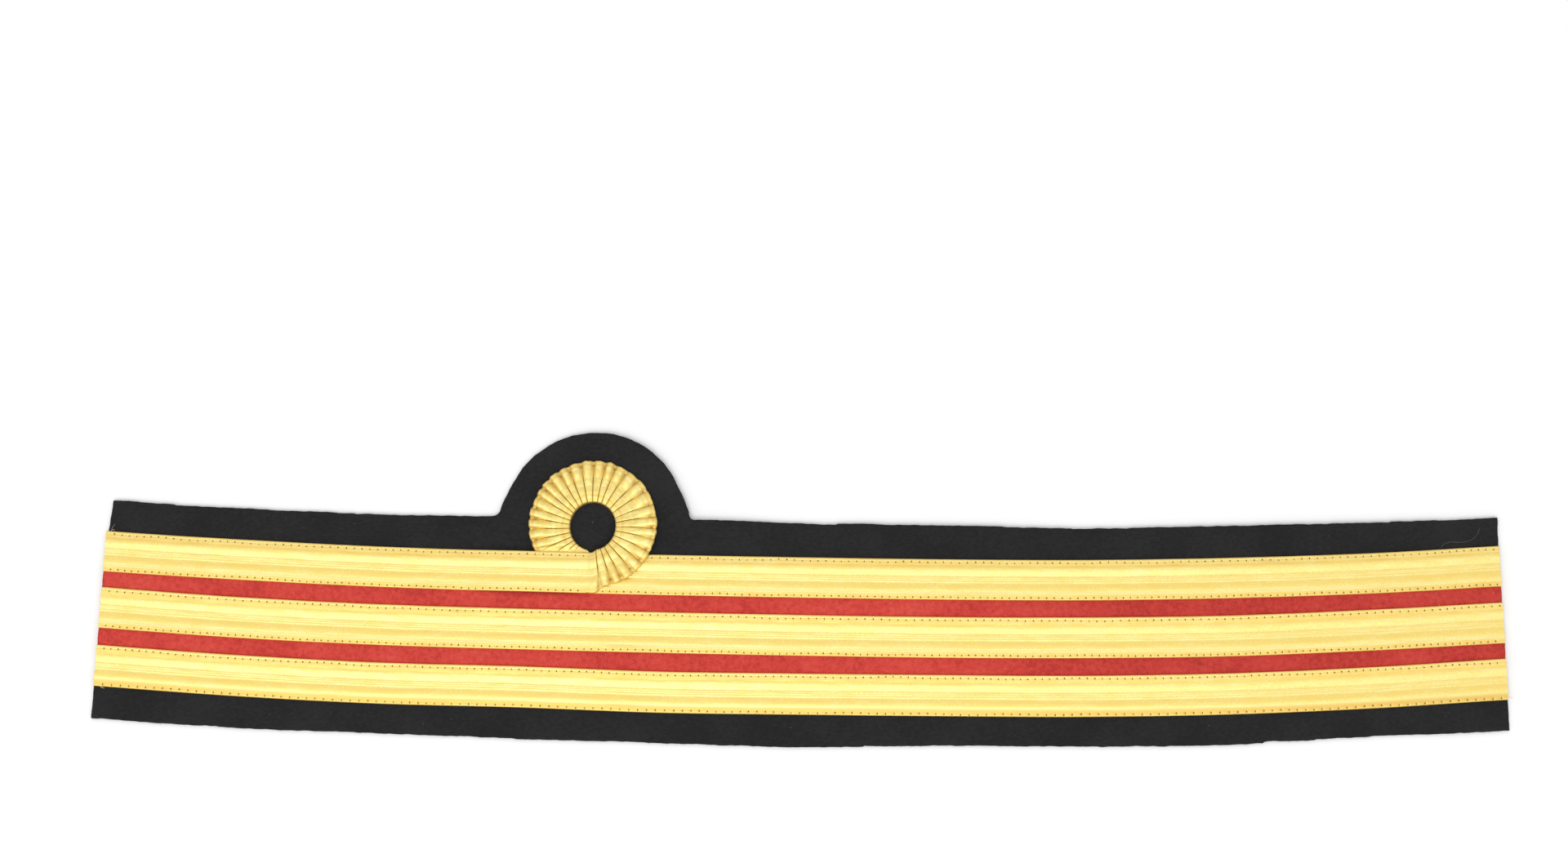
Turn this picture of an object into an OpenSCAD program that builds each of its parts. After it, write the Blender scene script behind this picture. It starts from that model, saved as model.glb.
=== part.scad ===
// Cuff rank insignia: a black cloth strip with a round hump, three gold laces, two scarlet
// strips between them and a pleated curl in the upper lace. It lies face up, hump towards +Y.

/* [Cloth strip] */
// Length of the strip along its lower edge
strip_l = 498.9; // [460:0.2:540]
// How far each end leans inward between the lower and the upper edge
end_lean = 1.2; // [0:0.1:4]
// How far the cloth stops short of that line at the upper left corner
corner_trim = 1.6; // [0:0.1:3]
// Thickness of the black cloth
cloth_t = 1.2; // [1:0.1:3]
// Black cloth that shows above the upper lace
upper_border_w = 11.5; // [9:0.1:14]
// Black cloth that shows below the lower lace
lower_border_w = 10.8; // [8:0.1:16]
// Radius of the gentle upward bow of the whole strip
bow_r = 4330; // [3000:10:20000]

/* [Hump] */
// Radius of the hump's round edge
hump_r = 32.6; // [31:0.1:36]
// How far the hump's centre lies beyond the curl's centre, towards +X
hump_dx = 0.65; // [-1:0.05:2]
// How far the hump's centre lies above the curl's centre
hump_dy = 0.65; // [0:0.05:2]

/* [Laces] */
// Width of each gold lace
lace_w = 14.3; // [13:0.1:15]
// Thickness of a lace at its two raised bands
lace_t = 1.3; // [1.2:0.05:1.5]
// How far the laces and the scarlet stop short of the cloth's ends
lace_inset = 0.3; // [0:0.1:2]

/* [Scarlet strips] */
// Scarlet cloth that shows between two laces
scarlet_w = 6.15; // [4:0.05:8]
// Thickness of the scarlet cloth in its middle
scarlet_t = 1; // [1:0.05:1.2]
// Width of scarlet cloth sewn in under each lace edge
tuck_w = 2; // [1:0.1:2]
// Thickness of the scarlet cloth where it is sewn in
tuck_t = 0.4; // [0.3:0.05:0.4]

/* [Curl] */
// Place of the curl's centre along the strip, from the strip's middle
curl_x = -75; // [-80:0.1:-70]
// Height of the curl's centre above the middle line of the upper lace
curl_rise = 17.4; // [17:0.05:19]
// Outer radius of the curl
curl_r = 22.4; // [21.6:0.1:23.2]
// Mean radius of the hole in the curl
hole_r = 8.35; // [8:0.05:9]
// How much longer the hole's radius is up and down, and how much shorter left and right
hole_stretch = 0.45; // [0:0.05:0.6]
// How far the hole's centre lies below the curl's centre
hole_drop = 0.4; // [0:0.05:0.6]
// Number of pleats in the full turn
pleat_count = 32; // [28:1:32]
// Height of the pleats above their creases at the hole
pleat_h_hole = 1.1; // [0.6:0.05:1.4]
// Height of the pleats above their creases at the outer edge
pleat_h_rim = 0.75; // [0.4:0.05:1]
// Height at which the lace crosses over itself below the curl
cross_h = 1.45; // [1.45:0.05:2]

/* [Hidden] */

BLACK = "#2b2b2d";
SCARLET = "#c8403a";
GOLD = "#e6c766";

// Gap between pieces that rest on each other, and the level on which laces and scarlet lie
seat_gap = 0.05;
seat_z = cloth_t + seat_gap;
lace_pitch = lace_w + scarlet_w;
sewn_raise = tuck_t + seat_gap;

// Distance between stations along the strip, the width of cloth that can lift at the upper
// edge, and the stretch of lace that climbs to the crossing, whose end lies clear of the curl
station_step = 25;
lift_w = 6;
climb_l = 22;
climb_clear = 2;

// Hand-sewn deviations from a true bow, in mm, a row for every 50 mm from the left end.
// Columns: upper lace, middle lace, lower lace, upper edge, lower edge, lift of the upper edge
WANDER_STEP = 50;
WANDER = [
    [-0.3,  0.1,  0.1, -0.6, -0.6, 0.3],
    [-0.2, -0.3, -0.3, -0.5, -0.8, 0.2],
    [-0.1, -0.2, -0.3,  0.0,  0.0, 0.2],
    [ 0.3,  0.4,  0.4,  1.2,  0.1, 0.3],
    [ 0.5,  0.5,  0.0,  1.9,  0.1, 1.3],
    [ 0.5,  0.4,  0.2,  1.3, -0.5, 0.6],
    [ 0.1,  0.0,  0.0,  0.7,  0.3, 0.9],
    [-0.4, -0.4, -0.5, -0.6, -0.2, 0.6],
    [-0.5, -0.6, -0.5, -0.6, -0.5, 0.8],
    [-0.3,  0.0,  0.2, -0.8,  0.9, 0.9],
    [ 0.4,  0.7,  1.3, -1.0,  1.1, 0.4]
];
UPPER_EDGE = 3;
LOWER_EDGE = 4;
LIFT = 5;

// Half of a lace's upper side, from its middle line outwards.
// Columns: share of half the width, height as a share of lace_t, share of the raise over
// scarlet, height at a crease of the curl as a share of lace_t
LACE_TOP = [
    [0,    0.80, 0,   0.80],
    [0.16, 0.77, 0,   0.80],
    [0.30, 0.94, 0,   0.80],
    [0.46, 1,    0,   0.80],
    [0.60, 0.85, 0.1, 0.78],
    [0.66, 0.60, 0.4, 0.75],
    [0.95, 0.52, 1,   0.60],
    [1,    0.35, 1,   0.45]
];
LACE_TOP_LAST = len(LACE_TOP) - 1;

function clamp(v, low, high) = min(max(v, low), high);
function smooth(t) = let (u = clamp(t, 0, 1)) u * u * (3 - 2 * u);
function mix(a, b, t) = a + (b - a) * t;

// Curve through four neighbouring values
function spline(a, b, c, d, t) =
    b + t * ((c - a) / 2 + t * (a - 2.5 * b + 2 * c - d / 2 + t * (1.5 * (b - c) + (d - a) / 2)));

function wander_row(i) = WANDER[clamp(i, 0, len(WANDER) - 1)];
function wander(x, column) =
    let (place = clamp((x + strip_l / 2) / WANDER_STEP, 0, len(WANDER) - 1.001))
    let (i = floor(place))
    spline(wander_row(i - 1)[column], wander_row(i)[column],
           wander_row(i + 1)[column], wander_row(i + 2)[column], place - i);

function bow(x) = x * x / (2 * bow_r);

// Heights above the middle line of the upper lace. Lace 0 is the upper one and lace 2 the lower
function line_y(x, drop, column) = bow(x) - drop + wander(x, column);
function raw_lace_y(i, x) = line_y(x, i * lace_pitch, i);
function raw_lower_y(x) = line_y(x, 2 * lace_pitch + lace_w / 2 + lower_border_w, LOWER_EDGE);

// The model's middle lies halfway between the lowest point of the strip and the hump's top
raw_curl_y = raw_lace_y(0, curl_x) + curl_rise;
raw_top_y = raw_curl_y + hump_dy + hump_r;
raw_low_y = min([for (x = [-strip_l / 2 : 5 : strip_l / 2]) raw_lower_y(x)]);
shift_y = -(raw_top_y + raw_low_y) / 2;

function lace_y(i, x) = raw_lace_y(i, x) + shift_y;
function lower_edge_y(x) = raw_lower_y(x) + shift_y;
function straight_edge_y(x) = line_y(x, -lace_w / 2 - upper_border_w, UPPER_EDGE) + shift_y;
curl_y = raw_curl_y + shift_y;
hump_x = curl_x + hump_dx;
hump_y = curl_y + hump_dy;
corner_low_y = lower_edge_y(-strip_l / 2);
corner_high_y = straight_edge_y(-strip_l / 2);

// Both ends are cut straight across, leaning inward towards the upper edge
function end_x(y) = strip_l / 2 - end_lean * (y - corner_low_y) / (corner_high_y - corner_low_y);
function at_ends(x, y) =
    let (e = end_x(y) - lace_inset)
    clamp(x, -e, e);

// Stations along the strip between two places, both included
function stations(from, to) =
    let (n = ceil((to - from) / station_step))
    [for (i = [0 : n]) mix(from, to, i / n)];

// Triangles that fill the side between two rows of points, whose places across are a and b
function zip_rows(a, b, i = 0, j = 0) =
    i == len(a) - 1 && j == len(b) - 1 ? []
    : j == len(b) - 1 || (i < len(a) - 1 && a[i + 1] <= b[j + 1])
        ? concat([[0, i, i + 1, j]], zip_rows(a, b, i + 1, j))
        : concat([[1, i, j, j + 1]], zip_rows(a, b, i, j + 1));

// A closed slab between a grid of upper points and a grid of lower points, row by row along it
module slab(upper, lower) {
    rows = len(upper);
    nu = len(upper[0]);
    nl = len(lower[0]);
    base = rows * nu;
    across_u = [for (p = upper[0]) -p[1]];
    across_l = [for (p = lower[0]) -p[1]];
    side = zip_rows(across_u, across_l);
    function u(k, i) = k * nu + i;
    function l(k, j) = base + k * nl + j;
    function end_face(k, f) = f[0] == 0
        ? [u(k, f[1]), u(k, f[2]), l(k, f[3])]
        : [u(k, f[1]), l(k, f[3]), l(k, f[2])];
    function turned(f) = [f[2], f[1], f[0]];
    points = concat([for (row = upper, p = row) p], [for (row = lower, p = row) p]);
    steps = [0 : rows - 2];
    faces = concat(
        [for (k = steps, i = [0 : nu - 2]) each
            [[u(k, i), u(k + 1, i), u(k + 1, i + 1)], [u(k, i), u(k + 1, i + 1), u(k, i + 1)]]],
        [for (k = steps, j = [0 : nl - 2]) each
            [[l(k, j), l(k + 1, j + 1), l(k + 1, j)], [l(k, j), l(k, j + 1), l(k + 1, j + 1)]]],
        [for (k = steps) each
            [[u(k, 0), l(k, 0), l(k + 1, 0)], [u(k, 0), l(k + 1, 0), u(k + 1, 0)]]],
        [for (k = steps) each
            [[u(k, nu - 1), l(k + 1, nl - 1), l(k, nl - 1)],
             [u(k, nu - 1), u(k + 1, nu - 1), l(k + 1, nl - 1)]]],
        [for (f = side) end_face(0, f)],
        [for (f = side) turned(end_face(rows - 1, f))]
    );
    polyhedron(points = points, faces = faces);
}

// Black cloth. Its upper outline is the straight edge and the hump's arc, with small hollow
// corners between them
hump_foot = 4;
hump_start = asin((straight_edge_y(hump_x - hump_r) - hump_y) / hump_r) + hump_foot;
hump_end = 180 - asin((straight_edge_y(hump_x + hump_r) - hump_y) / hump_r) - hump_foot;
hump_parts = 18;
foot_w = 2.2;

function edge_points(from, to) = [for (x = stations(from, to)) [x, straight_edge_y(x)]];
function upper_outline() = concat(
    edge_points(-strip_l / 2, hump_x - hump_r - foot_w),
    [for (i = [0 : hump_parts])
        let (t = mix(hump_start, hump_end, i / hump_parts))
        [hump_x - hump_r * cos(t), hump_y + hump_r * sin(t)]],
    edge_points(hump_x + hump_r + foot_w, strip_l / 2)
);

// How far a point lies inside the upper outline, and how high the cloth lifts there
function hump_inset(x, y) = hump_r - norm([x - hump_x, y - hump_y]);
function edge_inset(x, y) = max(straight_edge_y(x) - y, hump_inset(x, y));
function lift(x, y) = wander(x, LIFT) * smooth(1 - max(edge_inset(x, y), 0) / lift_w);

function cloth_x(x, y, y_edge) =
    let (trim = x < 0 && y > y_edge ? corner_trim : 0)
    clamp(x, trim - end_x(y), end_x(y));

// Where the part that can lift ends at one station
function flat_from_y(x) =
    let (reach = hump_r - lift_w, dx = abs(x - hump_x))
    max(straight_edge_y(x) - lift_w, dx < reach ? hump_y + sqrt(reach * reach - dx * dx) : -strip_l);

// Rows of the cloth at one station, from the upper outline down to the lower edge
function cloth_row(p, z) =
    let (x = p[0], flat_y = flat_from_y(x), lace_edge = lace_y(0, x) + lace_w / 2)
    let (heights = [p[1], (p[1] + flat_y) / 2, flat_y, lace_edge + 0.2, lace_edge - 0.8,
                    lace_y(1, x), lace_y(2, x) - lace_w / 2, lower_edge_y(x)])
    [for (y = heights) [cloth_x(x, y, lace_edge), y, z + lift(x, y)]];

module backing_cloth() {
    outline = upper_outline();
    color(BLACK)
    slab([for (p = outline) cloth_row(p, cloth_t)], [for (p = outline) cloth_row(p, 0)]);
}

// Scarlet cloth below lace i: full between the laces and pressed thin where it is sewn in
function scarlet_row(i, x) =
    let (high = lace_y(i, x) - lace_w / 2, low = lace_y(i + 1, x) + lace_w / 2)
    let (puff = (high - low) / 4)
    [for (p = [[high + tuck_w, tuck_t], [high, tuck_t], [high - puff, scarlet_t * 0.93],
               [(high + low) / 2, scarlet_t], [low + puff, scarlet_t * 0.93],
               [low, tuck_t], [low - tuck_w, tuck_t]])
        [at_ends(x, p[0]), p[0], seat_z + p[1]]];
function scarlet_seat(i, x) =
    [for (y = [lace_y(i, x) - lace_w / 2 + tuck_w, lace_y(i + 1, x) + lace_w / 2 - tuck_w])
        [at_ends(x, y), y, seat_z]];

module scarlet_strip(i) {
    xs = stations(-strip_l / 2, strip_l / 2);
    color(SCARLET)
    slab([for (x = xs) scarlet_row(i, x)], [for (x = xs) scarlet_seat(i, x)]);
}

module scarlet_strip_upper() {
    scarlet_strip(0);
}

module scarlet_strip_lower() {
    scarlet_strip(1);
}

// Lower side of a lace: flat in its middle, with a step over the scarlet sewn in below each edge.
// Columns: place across from the upper edge (-1) to the lower edge (1), share of the raise
LACE_SEAT_STEP = 1 - (tuck_w + 2 * seat_gap) / (lace_w / 2);
LACE_SEAT_SLOPE = 0.06;
LACE_SEAT = [
    [-1, 1],
    [-LACE_SEAT_STEP, 1],
    [-LACE_SEAT_STEP + LACE_SEAT_SLOPE, 0],
    [0, 0],
    [LACE_SEAT_STEP - LACE_SEAT_SLOPE, 0],
    [LACE_SEAT_STEP, 1],
    [1, 1]
];

// A lace is swept through stations, each of them
// [upper edge point, lower edge point, level above the seat, how pleated it is, pleat swell].
// This is a point of a station, at a place across it and a height above its level
function across(s, place, h) =
    let (p = mix(s[0], s[1], (1 + place) / 2))
    [at_ends(p[0], p[1]), p[1], seat_z + s[2] + h];

// raises holds how far the upper and the lower margin are lifted by scarlet below them
function top_row(s, raises) =
    [for (n = [-LACE_TOP_LAST : LACE_TOP_LAST])
        let (half = LACE_TOP[abs(n)])
        let (place = sign(n) * half[0])
        let (flat_h = half[1] * lace_t + half[2] * raises[n < 0 ? 0 : 1])
        let (pleat_h = half[3] * lace_t + mix(pleat_h_hole, pleat_h_rim, (1 + place) / 2) * s[4])
        across(s, place, mix(flat_h, pleat_h, s[3]))];

// Below, pleats are solid at the hole, where they are shut, and hollow at the outer edge
function seat_row(s, raises) =
    [for (c = LACE_SEAT)
        let (flat_h = c[1] * raises[c[0] < 0 ? 0 : 1])
        let (hollow_h = smooth((1 + c[0]) / 2) * pleat_h_rim * 0.8 * s[4])
        across(s, c[0], mix(flat_h, hollow_h, s[3]))];

module ribbon(run, raises) {
    color(GOLD)
    slab([for (s = run) top_row(s, raises)], [for (s = run) seat_row(s, raises)]);
}

// Plain stretches of a lace along the strip
function lace_edge(i, side, x) = [x, lace_y(i, x) - side * lace_w / 2];
function plain_run(i, from, to) =
    [for (x = stations(from, to)) [lace_edge(i, -1, x), lace_edge(i, 1, x), 0, 0, 0]];

module lace_lower() {
    ribbon(plain_run(2, -strip_l / 2, strip_l / 2), [sewn_raise, 0]);
}

module lace_middle() {
    ribbon(plain_run(1, -strip_l / 2, strip_l / 2), [sewn_raise, sewn_raise]);
}

// The upper lace climbs over its own later stretch, turns once round anticlockwise in pleats,
// sinks onto the cloth, passes below its first stretch and goes on to the right
curl_start = -93;
curl_end = curl_start + 360;
curl_clear = 5;

// Radius and centre height of the curl's two edges: side -1 is the hole and 1 the outer edge
function curl_edge_r(side, a) = side < 0 ? hole_r - hole_stretch * cos(2 * a) : curl_r;
function curl_edge_y(side) = side < 0 ? curl_y - hole_drop : curl_y;

// How far each edge of the straight lace lies below the curl's edge at the crossing
function curl_drop(side) = curl_edge_y(side) - curl_edge_r(side, -90) - lace_edge(0, side, curl_x)[1];

// Left stretch: climbs to the crossing height and stays straight up to the curl
climb_end = curl_x - curl_r - climb_clear;
function left_run() =
    [for (x = concat(stations(-strip_l / 2, climb_end - climb_l),
                     [for (t = [0.25 : 0.25 : 1]) climb_end - climb_l * (1 - t)],
                     [curl_x - curl_clear]))
        [lace_edge(0, -1, x), lace_edge(0, 1, x), cross_h * smooth(1 - (climb_end - x) / climb_l), 0, 0]];

// Angles between which the pleats rise, flatten again, and the lace sinks and settles.
// The hole's edge settles later than the outer one
pleats_full = curl_start + 13;
flatten_from = 183;
flatten_to = 214;
sink_from = -24;
sink_to = 45;
function settle_from(side) = side < 0 ? 245 : 205;
PLEAT_PARTS = 4;

// The outer edge bulges over each pleat
rim_scallop = 0.3;

function pleated(a) =
    smooth((a - curl_start) / (pleats_full - curl_start))
    * (1 - smooth((a - flatten_from) / (flatten_to - flatten_from)));

// Share of the drop that an edge still has, at the start of the curl, or has again at its end
function dropped(side, a) =
    1 - smooth((a - curl_start) / (pleats_full - curl_start))
    + smooth((a - settle_from(side)) / (curl_end - settle_from(side)));

function curl_point(side, a, bulge) =
    let (r = curl_edge_r(side, a) + (side + 1) / 2 * bulge)
    [curl_x + r * cos(a), curl_edge_y(side) + r * sin(a) - dropped(side, a) * curl_drop(side)];

function curl_station(k) =
    let (a = curl_start + k * 360 / (pleat_count * PLEAT_PARTS), full = pleated(a))
    let (swell = pow(abs(sin(180 * k / PLEAT_PARTS)), 0.6), bulge = rim_scallop * swell * full)
    let (level = cross_h * (1 - smooth((a - sink_from) / (sink_to - sink_from))))
    [curl_point(-1, a, bulge), curl_point(1, a, bulge), level, full, swell];

function curl_run() = [for (k = [0 : pleat_count * PLEAT_PARTS]) curl_station(k)];

module lace_upper_with_curl() {
    right_run = plain_run(0, curl_x + curl_clear, strip_l / 2);
    ribbon(concat(left_run(), curl_run(), right_run), [0, sewn_raise]);
}

backing_cloth();
scarlet_strip_upper();
scarlet_strip_lower();
lace_lower();
lace_middle();
lace_upper_with_curl();
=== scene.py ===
import math

import bpy
import numpy as np
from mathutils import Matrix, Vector
from mathutils.geometry import delaunay_2d_cdt


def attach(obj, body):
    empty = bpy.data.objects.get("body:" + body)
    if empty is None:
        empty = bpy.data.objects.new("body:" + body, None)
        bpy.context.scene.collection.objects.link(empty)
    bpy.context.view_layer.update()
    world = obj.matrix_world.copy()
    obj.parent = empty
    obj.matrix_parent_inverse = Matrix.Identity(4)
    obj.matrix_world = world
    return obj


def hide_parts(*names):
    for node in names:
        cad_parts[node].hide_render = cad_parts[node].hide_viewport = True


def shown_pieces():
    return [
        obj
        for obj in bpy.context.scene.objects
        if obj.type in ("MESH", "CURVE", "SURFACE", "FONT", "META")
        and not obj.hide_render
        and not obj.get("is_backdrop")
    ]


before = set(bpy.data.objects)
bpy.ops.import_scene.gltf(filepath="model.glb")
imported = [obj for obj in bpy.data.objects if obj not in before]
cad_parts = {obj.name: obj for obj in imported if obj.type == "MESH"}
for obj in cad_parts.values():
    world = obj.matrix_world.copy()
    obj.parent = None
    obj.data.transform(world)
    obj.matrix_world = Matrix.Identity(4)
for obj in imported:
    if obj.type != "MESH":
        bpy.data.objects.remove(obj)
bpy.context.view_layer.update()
chance = np.random.default_rng(41)
mm = 0.001
print("frame loaded")

# Sizes of the whole strip, in mm
strip = {
    "length": 498.9,
    "endLean": 1.2,          # how far each end leans inward towards the upper edge
    "thickness": 1.2,
    "upperBorder": 11.5,     # black cloth above the upper lace
    "lowerBorder": 10.8,     # black cloth below the lower lace
    "bowRadius": 4330,
    "laceWidth": 14.3,
    "lacePitch": 20.45,
    "laceInset": 0.3,        # how far the laces stop short of the cloth's ends
    "endPull": 30,           # length over which they are drawn in to the slanting ends
    "seat": 1.25,            # level on which laces and scarlet lie
    "sewnRaise": 0.45,       # lift of a lace edge that has scarlet below it
}
curl = {
    "x": -74.7, "rise": 17.4, "radius": 22.75,
    "holeRadius": 8.35, "holeStretch": 0.25, "holeDrop": 0.8,
    "crossing": 1.45,        # height at which the lace crosses over itself
    "climb": 22, "climbClear": 2,      # length over which it climbs there, and how far before the curl
    # Turns in degrees, from the right against the clock, at which the lace leaves its straight run,
    # its pleats rise and flatten, it sinks to the cloth, and its two edges settle below its first run
    "start": -93, "pleatsFrom": -95.5, "pleatsFull": -80, "leaveRim": 5, "settled": -78,
    "flattenFrom": 218, "flattenTo": 252,
    "sinkFrom": -24, "sinkTo": 45,
    "settleHole": 256, "settleRim": 205,
}
hump = {
    "radius": 32.6, "aside": 0.35, "above": 0.65,
    "flare": 1.5, "flareFrom": 25, "flareOver": 18,     # spread at its foot in mm, and the turns in degrees
    "leftFoot": 3.4, "rightFoot": 1.9, "footTurn": 7,
}

# Hand-sewn deviations in mm, one for every 50 mm from the left end
driftStep = 50
driftRows = {
    "upperLace":  [-0.3, -0.2, -0.1, 0.3, 0.5, 0.5, 0.1, -0.4, -0.5, -0.3, 0.4],
    "middleLace": [0.1, -0.3, -0.2, 0.3, 0.5, 0.4, 0.0, -0.4, -0.6, 0.0, 0.7],
    "lowerLace":  [0.1, -0.3, -0.3, 0.4, 0.0, 0.2, 0.0, -0.5, -0.5, 0.2, 1.3],
    "upperEdge":  [-0.6, -0.5, 0.0, 1.2, 1.9, 1.3, 0.7, -0.6, -0.6, -0.8, -1.0],
    "lowerEdge":  [-0.6, -0.8, 0.0, 0.1, 0.1, -0.5, 0.3, -0.2, -0.5, 0.9, 1.1],
    "lift":       [0.3, 0.2, 0.2, 0.3, 1.3, 0.6, 0.9, 0.6, 0.8, 0.9, 0.4],
}
laces = ["upperLace", "middleLace", "lowerLace"]
halfLength = strip["length"] / 2
halfLace = strip["laceWidth"] / 2
edgeReach = {"inner": halfLace - 0.05, "outer": -halfLace - 0.3}     # a lace's edges, from its middle line


def mix(a, b, t):
    return a + (b - a) * t


def ease(t):
    t = np.clip(t, 0, 1)
    return t * t * (3 - 2 * t)


def drift(column, x):
    row = np.array(driftRows[column])
    steps = np.clip((x + halfLength) / driftStep, 0, len(row) - 1.001)
    i = np.floor(steps).astype(int)
    t = steps - i
    a, b, c, d = (row[np.clip(i + k, 0, len(row) - 1)] for k in (-1, 0, 1, 2))
    return b + t * ((c - a) / 2 + t * (a - 2.5 * b + 2 * c - d / 2 + t * (1.5 * (b - c) + (d - a) / 2)))


def lineY(column, drop, x, middle=0.0):
    x = np.asarray(x, float)
    return x * x / (2 * strip["bowRadius"]) - drop + drift(column, x) + middle


def ripple(x, y, size, seed, waves=9):
    # Smooth seeded unevenness, about -1 to 1, with humps about that size
    made = np.random.default_rng(seed)
    total = np.zeros(np.broadcast(x, y).shape)
    for k in range(waves):
        turn, length = made.uniform(0, 2 * math.pi), size * made.uniform(0.8, 2.2)
        along = x * math.cos(turn) + y * math.sin(turn)
        total += np.cos(along * 2 * math.pi / length + made.uniform(0, 6.28))
    return total / math.sqrt(waves)


# The frame's middle lies halfway between the lowest point of the strip and the hump's top
lowDrop = 2 * strip["lacePitch"] + halfLace + strip["lowerBorder"]
highDrop = -halfLace - strip["upperBorder"]
firstCurlY = float(lineY("upperLace", 0, curl["x"])) + curl["rise"]
lowest = lineY("lowerEdge", lowDrop, np.arange(-halfLength, halfLength + 0.1, 5)).min()
middleY = -(firstCurlY + hump["above"] + hump["radius"] + lowest) / 2
curlX, curlY = curl["x"], firstCurlY + middleY
humpX, humpY = curlX + hump["aside"], curlY + hump["above"]


def laceY(i, x):
    return lineY(laces[i], i * strip["lacePitch"], x, middleY)


def lowerEdgeY(x):
    return lineY("lowerEdge", lowDrop, x, middleY)


def upperEdgeY(x):
    return lineY("upperEdge", highDrop, x, middleY)


cornerLow, cornerHigh = float(lowerEdgeY(-halfLength)), float(upperEdgeY(-halfLength))


def endX(y):
    return halfLength - strip["endLean"] * (y - cornerLow) / (cornerHigh - cornerLow)


def pulledX(x, y):
    # Draws the ends of a lace or scarlet strip in to the slanting end of the cloth
    pull = ease((np.abs(x) - halfLength + strip["endPull"]) / strip["endPull"])
    return x - np.sign(x) * pull * (halfLength - endX(y) + strip["laceInset"])


def shade(mesh, smooth=True):
    mesh.polygons.foreach_set("use_smooth", [smooth] * len(mesh.polygons))


def makeObject(name, points, faces, smooth=True):
    mesh = bpy.data.meshes.new(name)
    mesh.from_pydata([tuple(p) for p in np.asarray(points) * mm], [], faces)
    shade(mesh, smooth)
    mesh.validate()
    made = bpy.data.objects.new(name, mesh)
    bpy.context.scene.collection.objects.link(made)
    return made


def giveValues(made, name, values):
    layer = made.data.attributes.new(name, "FLOAT", "POINT")
    layer.data.foreach_set("value", np.asarray(values, np.float32).ravel())


def giveMap(made, name, u, v):
    mesh = made.data
    corner = np.zeros(len(mesh.loops), int)
    mesh.loops.foreach_get("vertex_index", corner)
    layer = mesh.uv_layers.new(name=name)
    spots = np.column_stack([np.ravel(u)[corner], np.ravel(v)[corner]])
    layer.data.foreach_set("uv", spots.astype(np.float32).ravel())


def bandMesh(name, top, bottom):
    # Closed band between two grids of points, row by row along it
    rows, nt, nb = top.shape[0], top.shape[1], bottom.shape[1]
    base = rows * nt
    k = np.arange(rows - 1)[:, None]
    i, j = np.arange(nt - 1)[None, :], np.arange(nb - 1)[None, :]
    t = k * nt + i
    b = base + k * nb + j
    faces = np.concatenate([
        np.stack([t, t + nt, t + nt + 1, t + 1], -1).reshape(-1, 4),
        np.stack([b, b + 1, b + nb + 1, b + nb], -1).reshape(-1, 4),
    ]).tolist()
    for r in range(rows - 1):
        tl, bl = r * nt, base + r * nb
        faces.append([tl, bl, bl + nb, tl + nt])
        faces.append([tl + nt - 1, tl + 2 * nt - 1, bl + 2 * nb - 1, bl + nb - 1])
    for r, turned in ((0, False), (rows - 1, True)):
        ring = [r * nt + n for n in range(nt)] + [base + r * nb + n for n in reversed(range(nb))]
        faces.append(ring[::-1] if turned else ring)
    return makeObject(name, np.concatenate([top.reshape(-1, 3), bottom.reshape(-1, 3)]), faces)


# Helpers for node trees, used for materials and for geometry nodes alike
def plug(tree, value, socket):
    if isinstance(value, bpy.types.NodeSocket):
        tree.links.new(value, socket)
    elif value is not None:
        socket.default_value = value


def setInputs(tree, made, inputs):
    # Each input is named, or numbered where names repeat
    for key, value in inputs.items():
        byName = (s for s in made.inputs if s.name == key and s.enabled)
        plug(tree, value, made.inputs[key] if isinstance(key, int) else next(byName))


def place(tree, kind, inputs=None, **settings):
    made = tree.nodes.new(kind)
    for key, value in settings.items():
        setattr(made, key, value)
    setInputs(tree, made, inputs or {})
    return made


def result(made, name=None):
    return next(s for s in made.outputs if s.enabled and name in (None, s.name))


def calc(tree, operation, *values, clamp=False):
    made = place(tree, "ShaderNodeMath", dict(enumerate(values)), operation=operation)
    made.use_clamp = clamp
    return made.outputs[0]


def times(tree, value, *factors):
    for factor in factors:
        value = calc(tree, "MULTIPLY", value, factor)
    return value


def plus(tree, value, *others):
    for other in others:
        value = calc(tree, "ADD", value, other)
    return value


def minus(tree, value, other, clamp=False):
    return calc(tree, "SUBTRACT", value, other, clamp=clamp)


def scaled(tree, value, factor, added):
    return calc(tree, "MULTIPLY_ADD", value, factor, added)


def swing(tree, value, size):
    # Turns a noise of 0 to 1 into a deviation to both sides of 0
    return scaled(tree, value, size, -0.5 * size)


def vectorCalc(tree, operation, *values, scale=None):
    made = place(tree, "ShaderNodeVectorMath", dict(enumerate(values)), operation=operation)
    if scale is not None:
        plug(tree, scale, made.inputs["Scale"])
    return result(made)


def lengthOf(tree, vector):
    return result(place(tree, "ShaderNodeVectorMath", {0: vector}, operation="LENGTH"), "Value")


def remap(tree, value, low, high, toLow=0.0, toHigh=1.0, kind="SMOOTHSTEP"):
    made = place(tree, "ShaderNodeMapRange", interpolation_type=kind)
    for socket, number in zip([s for s in made.inputs if s.enabled], (value, low, high, toLow, toHigh)):
        plug(tree, number, socket)
    return made.outputs[0]


def blend(tree, share, a, b):
    made = place(tree, "ShaderNodeMix", {"Factor": share, "A": a, "B": b}, data_type="FLOAT")
    return result(made)


def join(tree, x, y, z):
    return place(tree, "ShaderNodeCombineXYZ", {0: x, 1: y, 2: z}).outputs[0]


def profile(tree, value, points, handle="AUTO_CLAMPED"):
    made = place(tree, "ShaderNodeFloatCurve", {"Value": value})
    line = made.mapping.curves[0]
    line.points[0].location, line.points[1].location = points[0], points[-1]
    for spot in points[1:-1]:
        line.points.new(*spot)
    for spot in line.points:
        spot.handle_type = handle
    made.mapping.update()
    return made.outputs[0]


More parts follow.
